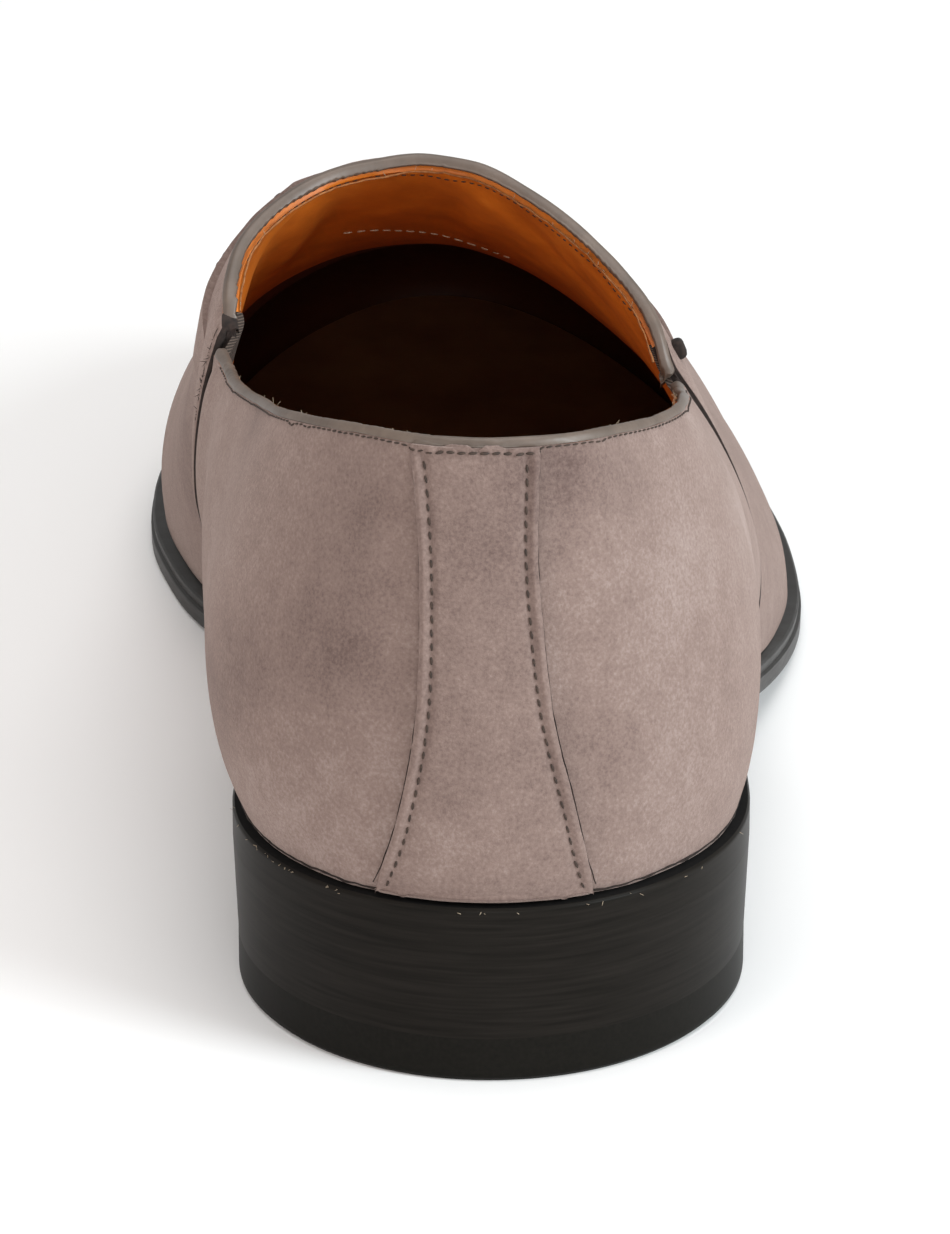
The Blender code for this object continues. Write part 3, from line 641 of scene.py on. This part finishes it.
# Smooth taupe calf, finely grained, with a soft satin face that lightens along the crown of the roll.
binding_calf, tree, shader, place = finish_for("taupe_binding_calf")
cloud = add(
    tree, "ShaderNodeTexNoise", {"Vector": place, "Scale": 1 / (6 * MM), "Detail": 4, "Roughness": 0.6}
)
ramp = add(tree, "ShaderNodeValToRGB", {"Fac": cloud.outputs["Fac"]})
set_ramp(ramp, (0.25, "#4b4037"), (0.6, "#5d4f45"), (0.85, "#6e6054"))
grain = add(tree, "ShaderNodeTexVoronoi", {"Vector": place, "Scale": 1 / (0.8 * MM)})
bump = add(
    tree, "ShaderNodeBump", {"Height": grain.outputs["Distance"], "Strength": 0.2, "Distance": 0.12 * MM}
)
tree.links.new(ramp.outputs["Color"], shader.inputs["Base Color"])
tree.links.new(bump.outputs["Normal"], shader.inputs["Normal"])
shader.inputs["Roughness"].default_value = 0.5
shader.inputs["Coat Weight"].default_value = 0.15
shader.inputs["Coat Roughness"].default_value = 0.35

COLLAR_MIDDLE = Vector((-2, -95, 78)) * MM
TONGUE_MIDDLE = Vector((-4, -45, 64)) * MM


def roll_line(node_name, middle, axis, first, last, count):
    """Middle, way out and outer foot of a binding's roll, at even turns about an axis, in degrees."""
    line = []
    for turn in np.radians(np.linspace(first, last, count)):
        if axis == "Z":
            out = Vector((math.cos(turn), math.sin(turn), 0))
            normal = Vector((0, 0, 1)).cross(out)
        else:
            out = Vector((math.cos(turn), 0, math.sin(turn)))
            normal = Vector((0, 1, 0)).cross(out)
        bm = quads_of(node_name)
        everything = bm.verts[:] + bm.edges[:] + bm.faces[:]
        cut = bmesh.ops.bisect_plane(bm, geom=everything, plane_co=middle, plane_no=normal)["geom_cut"]
        corners = [item.co.copy() for item in cut if isinstance(item, bmesh.types.BMVert)]
        spots = [corner for corner in corners if (corner - middle).dot(out) > 0]
        bm.free()
        if len(spots) > 2:
            centre = sum(spots, Vector()) / len(spots)
            foot = min([spot for spot in spots if (spot - centre).dot(out) > 0], key=lambda spot: spot.z)
            line.append((centre, out, foot))
    return line


collar_line = roll_line("collar_binding", COLLAR_MIDDLE, "Z", first=42, last=-222, count=150)
tongue_line = roll_line("tongue_binding", TONGUE_MIDDLE, "Y", first=8, last=172, count=90)

# Each roll is pulled in from the lining's side and down on to the suede along its foot, and the ends of
# the tongue's roll are tucked down beside the gores.
INNER_CUT = {"collar_binding": 0.5, "tongue_binding": 0.65}
OUTER_CUT = {"collar_binding": 0.05, "tongue_binding": 0.0}
BINDING_PULL = 0.45 * MM
PULL_REACH = 1.3 * MM
BINDING_WAVE = 0.1 * MM
BINDING_WAVE_SIZE = 5 * MM
END_TUCK = Vector((0, 0.6, -2.6)) * MM
TUCK_REACH = 6 * MM
for name, roll in (("collar_binding", collar_line), ("tongue_binding", tongue_line)):
    binding = smooth_piece(name, quads_of(name), 3, 100, binding_calf)
    places = points_of(binding.data)
    normals = points_of(binding.data, "normal")
    tucked_ends = [roll[0][0], roll[-1][0]] if name == "tongue_binding" else []
    middles = kdtree.KDTree(len(roll))
    for k, (centre, _, _) in enumerate(roll):
        middles.insert(centre, k)
    middles.balance()
    for k in range(len(places)):
        spot = Vector(places[k])
        centre, out, _ = roll[middles.find(spot)[1]]
        reach = (spot - centre).dot(out)
        spot -= out * reach * (INNER_CUT if reach < 0 else OUTER_CUT)[name]
        hit, _, _, away = suede_skin.find_nearest(spot)
        pull = min(BINDING_PULL, 0.9 * away) * min(max(2 * (1 - away / PULL_REACH), 0), 1)
        spot += (hit - spot) / max(away, 1e-9) * pull
        spot += Vector(normals[k]) * BINDING_WAVE * noise.noise(spot / BINDING_WAVE_SIZE)
        for end in tucked_ends:
            spot += END_TUCK * max(1 - (spot - end).length / TUCK_REACH, 0) ** 2
        places[k] = spot
    move_points(binding.data, places)
    fit_out(binding, "binding_leather", name)

# The row along the collar's foot is even on the quarters, and coarser and uneven over the back strip.
COLLAR_STITCH_DROP = Vector((0, 0, 0.5)) * MM
SIDE_ROW = {"length": 0.95 * MM, "gap": 0.3 * MM, "width": 0.27 * MM, "sink": 0.06 * MM}
STRIP_ROW = {"length": 1.25 * MM, "gap": 0.25 * MM, "width": 0.42 * MM, "sink": 0.05 * MM}
ROW_WAVE = 0.45 * MM
ROW_WAVE_SIZE = 1.5 * MM
HEEL_BACK = -130 * MM
STRIP_TOP_MIDDLE = 2 * MM
STRIP_TOP_HALF = 7.5 * MM
stitches = bmesh.new()
line = []
for _, out, foot in collar_line:
    spot = suede_skin.ray_cast(foot + out * 8 * MM - COLLAR_STITCH_DROP, -out, 30 * MM)[0]
    if spot is not None:
        line.append(spot)
on_strip = [
    k
    for k, spot in enumerate(line)
    if spot.y < HEEL_BACK and abs(spot.x - STRIP_TOP_MIDDLE) < STRIP_TOP_HALF
]
first, last = on_strip[0], on_strip[-1]
uneven = []
for spot in line[first : last + 1]:
    uneven.append(spot + Vector((0, 0, ROW_WAVE * noise.noise(spot / ROW_WAVE_SIZE))))
sew(stitches, line[: first + 1], suede_skin, seed=3, **SIDE_ROW)
sew(stitches, uneven, suede_skin, seed=4, **STRIP_ROW)
sew(stitches, line[last:], suede_skin, seed=5, **SIDE_ROW)
fit_out(piece_from("binding_stitches", stitches, thread), "binding_leather")


# The lining's trimmings: its cut edge shows as a thin uneven line inside the bindings, a dark row of
# stitches holds it there, and the pale thread of the strap comes through it ahead of the tongue.

# Raw calf edge: bare fibre, duller and browner than the lining's face.
tan_edge, tree, shader, place = finish_for("raw_tan_edge")
fray = add(tree, "ShaderNodeTexNoise", {"Vector": place, "Scale": 1 / (0.7 * MM), "Detail": 3})
ramp = add(tree, "ShaderNodeValToRGB", {"Fac": fray.outputs["Fac"]})
set_ramp(ramp, (0.25, "#6e3c17"), (0.75, "#a06a3c"))
tree.links.new(ramp.outputs["Color"], shader.inputs["Base Color"])
shader.inputs["Roughness"].default_value = 0.9

TONGUE_EDGE_IN = 1.15 * MM
TONGUE_EDGE_DROP = Vector((0, -0.1, -0.4)) * MM
COLLAR_EDGE_IN = 0.75 * MM
COLLAR_EDGE_DROP = Vector((0, 0, -0.35)) * MM
tongue_rim = [spot - out * TONGUE_EDGE_IN + TONGUE_EDGE_DROP for spot, out, _ in tongue_line[2:-2]]
collar_rim = [spot - out * COLLAR_EDGE_IN + COLLAR_EDGE_DROP for spot, out, _ in collar_line[2:-2]]
strands = bmesh.new()
rope(strands, resample(tongue_rim, 0.7 * MM), radius=0.17 * MM, waver=0.14 * MM, seed=11)
rope(strands, resample(collar_rim, 0.7 * MM), radius=0.2 * MM, waver=0.2 * MM, seed=12)
fit_out(piece_from("lining_edge", strands, tan_edge), "suede")

RIM_ROW_DROP = Vector((0, 1.7, -1.3)) * MM
stitches = bmesh.new()
line = [upper_skin.find_nearest(spot + RIM_ROW_DROP)[0] for spot in tongue_rim]
sew(stitches, line, upper_skin, 0.8 * MM, gap=0.5 * MM, width=0.26 * MM, sink=0.08 * MM, seed=6)
fit_out(piece_from("lining_rim_stitches", stitches, thread), "suede")

# Undyed cotton thread and loose fibres: pale beige and dull.
pale_thread, tree, shader, place = finish_for("pale_cotton_thread")
twist = add(tree, "ShaderNodeTexNoise", {"Vector": place, "Scale": 1 / (0.3 * MM), "Detail": 1})
ramp = add(tree, "ShaderNodeValToRGB", {"Fac": twist.outputs["Fac"]})
set_ramp(ramp, (0.3, "#a5927a"), (0.8, "#cbbba4"))
tree.links.new(ramp.outputs["Color"], shader.inputs["Base Color"])
shader.inputs["Roughness"].default_value = 0.9

Spot = namedtuple("Spot", "x y z")
STRAP_ROW = (
    Spot(-19.4, -2.7, 73.5),
    Spot(-14.3, -0.4, 73.5),
    Spot(-9.6, 2.7, 72.3),
    Spot(-5.7, 5.2, 71.0),
    Spot(-1.4, 7.5, 69.3),
    Spot(2.8, 7.5, 68.1),
    Spot(6.6, 4.0, 67.9),
)
stitches = bmesh.new()
line = [upper_skin.find_nearest(Vector(row) * MM)[0] for row in STRAP_ROW]
sew(stitches, line, upper_skin, 1.5 * MM, gap=0.7 * MM, width=0.24 * MM, sink=0.04 * MM, seed=7)
fit_out(piece_from("strap_thread_inside", stitches, pale_thread), "suede")


def hair(bm, root, way, length, radius):
    """One loose fibre that stands up from its root."""
    turn = way.to_track_quat("Z", "Y").to_matrix().to_4x4()
    pose = Matrix.Translation(root + way.normalized() * 0.4 * length) @ turn
    tip = 0.4 * radius
    bmesh.ops.create_cone(
        bm, cap_ends=True, segments=5, radius1=radius, radius2=tip, depth=length, matrix=pose
    )


# Fibres stand up here and there along the lining's cut edge.
RIM_LIFT = Vector((0, 0, 0.3)) * MM
chance = random.Random(5)
fibres = bmesh.new()
roots = chance.sample(resample(collar_rim, 0.5 * MM), 20)
roots += chance.sample(resample(tongue_rim, 0.5 * MM), 12)
for root in roots:
    lean = Vector((chance.uniform(-0.8, 0.8), chance.uniform(-0.6, 0.3), 1))
    hair(fibres, root + RIM_LIFT, lean, chance.uniform(0.4, 1.0) * MM, radius=0.045 * MM)
fit_out(piece_from("lining_fibres", fibres, pale_thread), "suede")


# The saddle strap: a suede band over the instep from gore to gore, narrower towards its ends, which are
# skived thin and caught in the side seams. It is edge-stitched along both sides.

STRAP_SLOPE = math.radians(30)
ALONG_STRAP = Vector((0, math.cos(STRAP_SLOPE), math.sin(STRAP_SLOPE)))
ACROSS_STRAP = Vector((0, math.sin(STRAP_SLOPE), -math.cos(STRAP_SLOPE)))
strap_form = quads_of("saddle_strap")
strap_form.normal_update()
lifts = {vertex: upper_skin.find_nearest(vertex.co)[3] for vertex in strap_form.verts}
half_way = (min(lifts.values()) + max(lifts.values())) / 2
strap_edges = {"back": {}, "front": {}}
for edge in strap_form.edges:
    if min(lifts[vertex] for vertex in edge.verts) < half_way:
        continue
    for face in edge.link_faces:
        way = face.normal.dot(ACROSS_STRAP)
        if min(lifts[vertex] for vertex in face.verts) < half_way and abs(way) > 0.3:
            found = strap_edges["front" if way > 0 else "back"]
            found.update({vertex.co.to_tuple(6): vertex.co.copy() for vertex in edge.verts})

# The strap lies on the suede, and its skived ends sink into it.
STRAP_LOW = -0.6 * MM
STRAP_TOP = 1.25 * MM
SKIVED_TOP = -0.25 * MM
SKIVED = 14 * MM
STRAP_WAVE = 0.1 * MM
STRAP_WAVE_SIZE = 4 * MM
strap = smooth_piece("saddle_strap", strap_form, 3, 48, suede)
places = points_of(strap.data)
spots = [upper_skin.find_nearest(Vector(p)) for p in places]
lifts = np.array([(Vector(p) - spot[0]).dot(spot[1]) for p, spot in zip(places, spots)])
lowest, highest = np.percentile(lifts, 5), np.percentile(lifts, 95)
along = places @ np.array(ALONG_STRAP)
for k, (hit, normal, _, _) in enumerate(spots):
    share = min(max((lifts[k] - lowest) / (highest - lowest), 0), 1)
    full = min((along[k] - along.min()) / SKIVED, 1)
    top = SKIVED_TOP + (STRAP_TOP - SKIVED_TOP) * full * (2 - full)
    wave = STRAP_WAVE * noise.noise(Vector(places[k]) / STRAP_WAVE_SIZE)
    places[k] = hit + normal * (STRAP_LOW + (top + wave - STRAP_LOW) * share)
move_points(strap.data, places)
tone_nap_and_shade(strap)
fit_out(strap, "suede", "saddle_strap")

STRAP_MIDDLE_Z = 55 * MM
ROW_STEPS = 79
BARE_STEPS = 9
strap_skin = skin_of(strap)
stitches = bmesh.new()
sides = []
for points in strap_edges.values():
    line = sorted(points.values(), key=lambda p: math.atan2(p.z - STRAP_MIDDLE_Z, p.x))
    length = sum((after - before).length for before, after in zip(line, line[1:]))
    sides.append(resample(line, length / ROW_STEPS))
for seed, share in enumerate((0.12, 0.88)):
    line = [strap_skin.find_nearest(back.lerp(front, share))[0] for back, front in zip(*sides)]
    line = line[BARE_STEPS:-BARE_STEPS]
    sew(stitches, line, strap_skin, 1.5 * MM, gap=0.8 * MM, width=0.34 * MM, sink=0.08 * MM, seed=20 + seed)
fit_out(piece_from("strap_stitches", stitches, thread), "suede")

# The strap's end beside the lateral gore is folded over, so a small dark tab stands out there. Beside
# the medial gore the vamp's raw edge is frayed.
TAB_MIDDLE = Vector((30.3, -52.4, 71.7)) * MM
TAB_SIZE = Vector((2.1, 2.6, 3.0)) * MM
TAB_ROUND = 0.8 * MM
TAB_LEAN = 22
tab = bmesh.new()
turn = Matrix.Rotation(math.radians(-TAB_LEAN), 4, "Y") @ Matrix.Diagonal(TAB_SIZE).to_4x4()
bmesh.ops.create_cube(tab, size=1, matrix=Matrix.Translation(TAB_MIDDLE) @ turn)
bmesh.ops.bevel(
    tab,
    geom=tab.edges[:],
    offset=TAB_ROUND,
    offset_type="OFFSET",
    affect="EDGES",
    segments=3,
    profile=0.5,
    material=-1,
)
fit_out(piece_from("strap_tab", tab, cut_suede_and_shade), "suede")

FRAYED_FROM = 60 * MM
FRAY_OFF_FOOT = Vector((-1.7, 0.2, 0)) * MM
frays = bmesh.new()
frayed = resample([point for point in vamp_feet["medial"] if point.z > FRAYED_FROM], 0.5 * MM)
for _ in range(44):
    root = upper_skin.find_nearest(chance.choice(frayed) + FRAY_OFF_FOOT)[0]
    lean = Vector((chance.uniform(-0.6, 0.8), chance.uniform(-1, 0), chance.uniform(-0.6, 0.8)))
    hair(frays, root, lean, chance.uniform(0.5, 1.3) * MM, radius=0.06 * MM)
fit_out(piece_from("gore_frays", frays, cut_suede_and_shade), "elastic")


# The outsole: black leather, its edge cut in two steps round the forefoot and burnished with wax.
# Round the heel seat the edge is trimmed flush with the heel.

FLUSH_FROM = -62 * MM
FLUSH_TO = -74 * MM
COLUMN_REACH = 1.35 * MM
TOP_EDGE = 0.05 * MM
TOP_INSET = 0.3 * MM
outsole_form = quads_of("outsole")
outsole_form.verts.ensure_lookup_table()
columns = kdtree.KDTree(len(outsole_form.verts))
for k, vertex in enumerate(outsole_form.verts):
    columns.insert(Vector((vertex.co.x, vertex.co.y, 0)), k)
columns.balance()
trimmed = {}
for vertex in outsole_form.verts:
    flush = min(max((vertex.co.y - FLUSH_FROM) / (FLUSH_TO - FLUSH_FROM), 0), 1)
    if flush == 0:
        continue
    plan = Vector((vertex.co.x, vertex.co.y, 0))
    column = [outsole_form.verts[k].co for _, k, _ in columns.find_range(plan, COLUMN_REACH)]
    widest = max(column, key=lambda c: (Vector((c.x, c.y, 0)) - HEEL_CENTRE).length)
    top = max(c.z for c in column)
    inset = TOP_INSET if vertex.co.z > top - TOP_EDGE else 0
    flat = Vector((widest.x, widest.y, 0))
    flat -= (flat - HEEL_CENTRE).normalized() * inset
    trimmed[vertex] = plan.lerp(flat, flush)
for vertex, plan in trimmed.items():
    vertex.co.x, vertex.co.y = plan.x, plan.y

# Leather edge stained black and burnished with wax: deep, satin, streaked along the edge by the iron.
burnished, tree, shader, place = finish_for("burnished_black_leather")
squash = add(tree, "ShaderNodeMapping", {"Vector": place, "Scale": (0.12, 0.12, 1.0)})
streak = add(
    tree,
    "ShaderNodeTexNoise",
    {"Vector": squash.outputs[0], "Scale": 1 / (0.55 * MM), "Detail": 4, "Roughness": 0.6},
)
cloud = add(tree, "ShaderNodeTexNoise", {"Vector": place, "Scale": 1 / (11 * MM), "Detail": 4})
level = 0.0
for pattern, weight in ((streak, 0.55), (cloud, 0.45)):
    terms = {0: pattern.outputs["Fac"], 1: weight, 2: level}
    level = add(tree, "ShaderNodeMath", terms, operation="MULTIPLY_ADD").outputs[0]
ramp = add(tree, "ShaderNodeValToRGB", {"Fac": level})
set_ramp(ramp, (0.3, "#141210"), (0.7, "#211e1b"))
gloss = add(
    tree,
    "ShaderNodeMapRange",
    {"Value": level, "From Min": 0.3, "From Max": 0.7, "To Min": 0.38, "To Max": 0.52},
)
bump = add(tree, "ShaderNodeBump", {"Height": streak.outputs["Fac"], "Strength": 0.12, "Distance": 0.1 * MM})
tree.links.new(ramp.outputs["Color"], shader.inputs["Base Color"])
tree.links.new(gloss.outputs[0], shader.inputs["Roughness"])
tree.links.new(bump.outputs["Normal"], shader.inputs["Normal"])
shader.inputs["Specular IOR Level"].default_value = 0.28

# The same leather round the heel: rubbed duller, brown-black, with faint streaks round the block.
heel_black, tree, shader, place = finish_for("rubbed_black_heel")
squash = add(tree, "ShaderNodeMapping", {"Vector": place, "Scale": (0.04, 0.04, 1.0)})
streak = add(
    tree,
    "ShaderNodeTexNoise",
    {"Vector": squash.outputs[0], "Scale": 1 / (0.6 * MM), "Detail": 3, "Roughness": 0.5},
)
ramp = add(tree, "ShaderNodeValToRGB", {"Fac": streak.outputs["Fac"]})
set_ramp(ramp, (0.3, "#12100d"), (0.7, "#1d1a17"))
bump = add(tree, "ShaderNodeBump", {"Height": streak.outputs["Fac"], "Strength": 0.08, "Distance": 0.1 * MM})
tree.links.new(ramp.outputs["Color"], shader.inputs["Base Color"])
tree.links.new(bump.outputs["Normal"], shader.inputs["Normal"])
shader.inputs["Roughness"].default_value = 0.4
shader.inputs["Specular IOR Level"].default_value = 0.06

# The unpolished ledge round the upper's heel: the same leather, matt, and painted darker than the heel's
# walls as painted shade under the overhang of the upper.
shaded_ledge_black, tree, shader, place = finish_for("matt_ledge_painted_shade")
speck = add(tree, "ShaderNodeTexNoise", {"Vector": place, "Scale": 1 / (1.1 * MM), "Detail": 3})
ramp = add(tree, "ShaderNodeValToRGB", {"Fac": speck.outputs["Fac"]})
set_ramp(ramp, (0.3, "#070606"), (0.8, "#100f0e"))
tree.links.new(ramp.outputs["Color"], shader.inputs["Base Color"])
shader.inputs["Roughness"].default_value = 0.8
shader.inputs["Specular IOR Level"].default_value = 0.12

# Faces that look up round the heel seat take the ledge finish, with its painted shade.
LEDGE, HEEL_SIDE = 1, 2
LOOKS_UP = 0.8
outsole_form.normal_update()
for face in outsole_form.faces:
    if face.calc_center_median().y < FLUSH_TO:
        face.material_index = LEDGE if face.normal.z > LOOKS_UP else HEEL_SIDE
outsole = smooth_piece("outsole", outsole_form, 2, 28, burnished, shaded_ledge_black, heel_black)
fit_out(outsole, "sole_leather", "outsole")


# The heel: lifts of sole leather stacked, trimmed upright and burnished black as one block, over a
# rubber top lift that meets the floor.

SEAM_CLOSED = 0.3 * MM
LEVEL_FACE = 0.95


def heel_block(node_name, raised_from, material):
    """A heel piece from its CAD node's walls, raised to touch what lies above it, with its ends closed."""
    bm = quads_of(node_name)
    bm.normal_update()
    ends = [face for face in bm.faces if abs(face.normal.z) > LEVEL_FACE]
    bmesh.ops.delete(bm, geom=ends, context="FACES")
    for vertex in bm.verts:
        if vertex.co.z > raised_from:
            vertex.co.z += SEAM_CLOSED
    piece = smooth_piece(node_name, bm, 3, 40, material)
    bm = bmesh.new()
    bm.from_mesh(piece.data)
    bmesh.ops.holes_fill(bm, edges=bm.edges, sides=0)
    bmesh.ops.recalc_face_normals(bm, faces=bm.faces)
    bm.to_mesh(piece.data)
    bm.free()
    piece.data.set_sharp_from_angle(angle=math.radians(35))
    return piece


fit_out(heel_block("heel_stack", 12 * MM, heel_black), "sole_leather", "heel_stack")

# Black rubber, trimmed with the heel: more even than the leather, and a little darker and duller.
lift_rubber, tree, shader, place = finish_for("black_lift_rubber")
grit = add(tree, "ShaderNodeTexNoise", {"Vector": place, "Scale": 1 / (0.6 * MM), "Detail": 3})
ramp = add(tree, "ShaderNodeValToRGB", {"Fac": grit.outputs["Fac"]})
set_ramp(ramp, (0.3, "#11100d"), (0.75, "#171512"))
tree.links.new(ramp.outputs["Color"], shader.inputs["Base Color"])
shader.inputs["Roughness"].default_value = 0.45
shader.inputs["Specular IOR Level"].default_value = 0.06

fit_out(heel_block("top_lift", 5 * MM, lift_rubber), "top_lift_rubber", "top_lift")

# Loose fibres are caught along the heel's top edge, on both sides.
FIBRE_SEARCH = 60 * MM
sole_skin = skin_of(outsole)
fibres = bmesh.new()
for _ in range(30):
    medial_turn = chance.uniform(-175, -120)
    lateral_turn = chance.uniform(-100, -20)
    turn = math.radians(chance.choice((medial_turn, lateral_turn)))
    out = Vector((math.cos(turn), math.sin(turn), 0))
    height = Vector((0, 0, chance.uniform(24.6, 25.2))) * MM
    root = sole_skin.ray_cast(HEEL_CENTRE + out * HEEL_REACH + height, -out, FIBRE_SEARCH)[0]
    if root is not None:
        lean = out + Vector((chance.uniform(-1, 1), chance.uniform(-1, 1), chance.uniform(-0.8, 0.8)))
        hair(fibres, root, lean, chance.uniform(0.3, 0.8) * MM, radius=0.04 * MM)
fit_out(piece_from("sole_fibres", fibres, pale_thread), "sole_leather")


# The floor, the light and the camera: a pale sweep, a large soft light over the right shoulder, weaker
# ones on the left, low behind and overhead, and a long lens behind the heel.

# Matt studio paint: near white, without a sheen.
floor_paint, _, shader, _ = finish_for("pale_floor_paint")
shader.inputs["Base Color"].default_value = linear("#f2f1f0")
shader.inputs["Roughness"].default_value = 0.9
floor_form = bmesh.new()
bmesh.ops.create_grid(floor_form, x_segments=1, y_segments=1, size=4)
floor = piece_from("floor", floor_form, floor_paint)

AIM = Vector((1.1, -101.9, 49)) * MM
Lamp = namedtuple("Lamp", "name x y z size watts colour")
LAMPS = (
    Lamp("key_light", 1.45, -0.85, 0.75, 0.9, 33, "#f2fbff"),
    Lamp("fill_light", -1.15, -1.1, 0.6, 0.8, 7, "#fff1ea"),
    Lamp("low_light", 0.05, -1.8, 0.45, 0.9, 8.5, "#ffffff"),
    Lamp("top_light", 0.1, -0.1, 1.5, 1.2, 10, "#ffffff"),
)
for lamp in LAMPS:
    light = bpy.data.lights.new(lamp.name, "AREA")
    light.shape = "DISK"
    light.size = lamp.size
    light.energy = lamp.watts
    light.color = linear(lamp.colour)[:3]
    holder = bpy.data.objects.new(lamp.name, light)
    holder.location = (lamp.x, lamp.y, lamp.z)
    holder.rotation_euler = (AIM - holder.location).to_track_quat("-Z", "Y").to_euler()
    bpy.context.scene.collection.objects.link(holder)

world = bpy.data.worlds.new("studio")
world.use_nodes = True
world.node_tree.nodes["Background"].inputs["Color"].default_value = linear("#ffffff")
world.node_tree.nodes["Background"].inputs["Strength"].default_value = 0.52
bpy.context.scene.world = world
bpy.context.scene.view_settings.view_transform = "Standard"

lens = bpy.data.cameras.new("camera")
lens.lens = 189.7
lens.sensor_width = 36
camera = bpy.data.objects.new("camera", lens)
camera.location = Vector((3.2, -944.0, 367.1)) * MM
camera.rotation_euler = (AIM - camera.location).to_track_quat("-Z", "Y").to_euler()
bpy.context.scene.collection.objects.link(camera)
bpy.context.scene.camera = camera
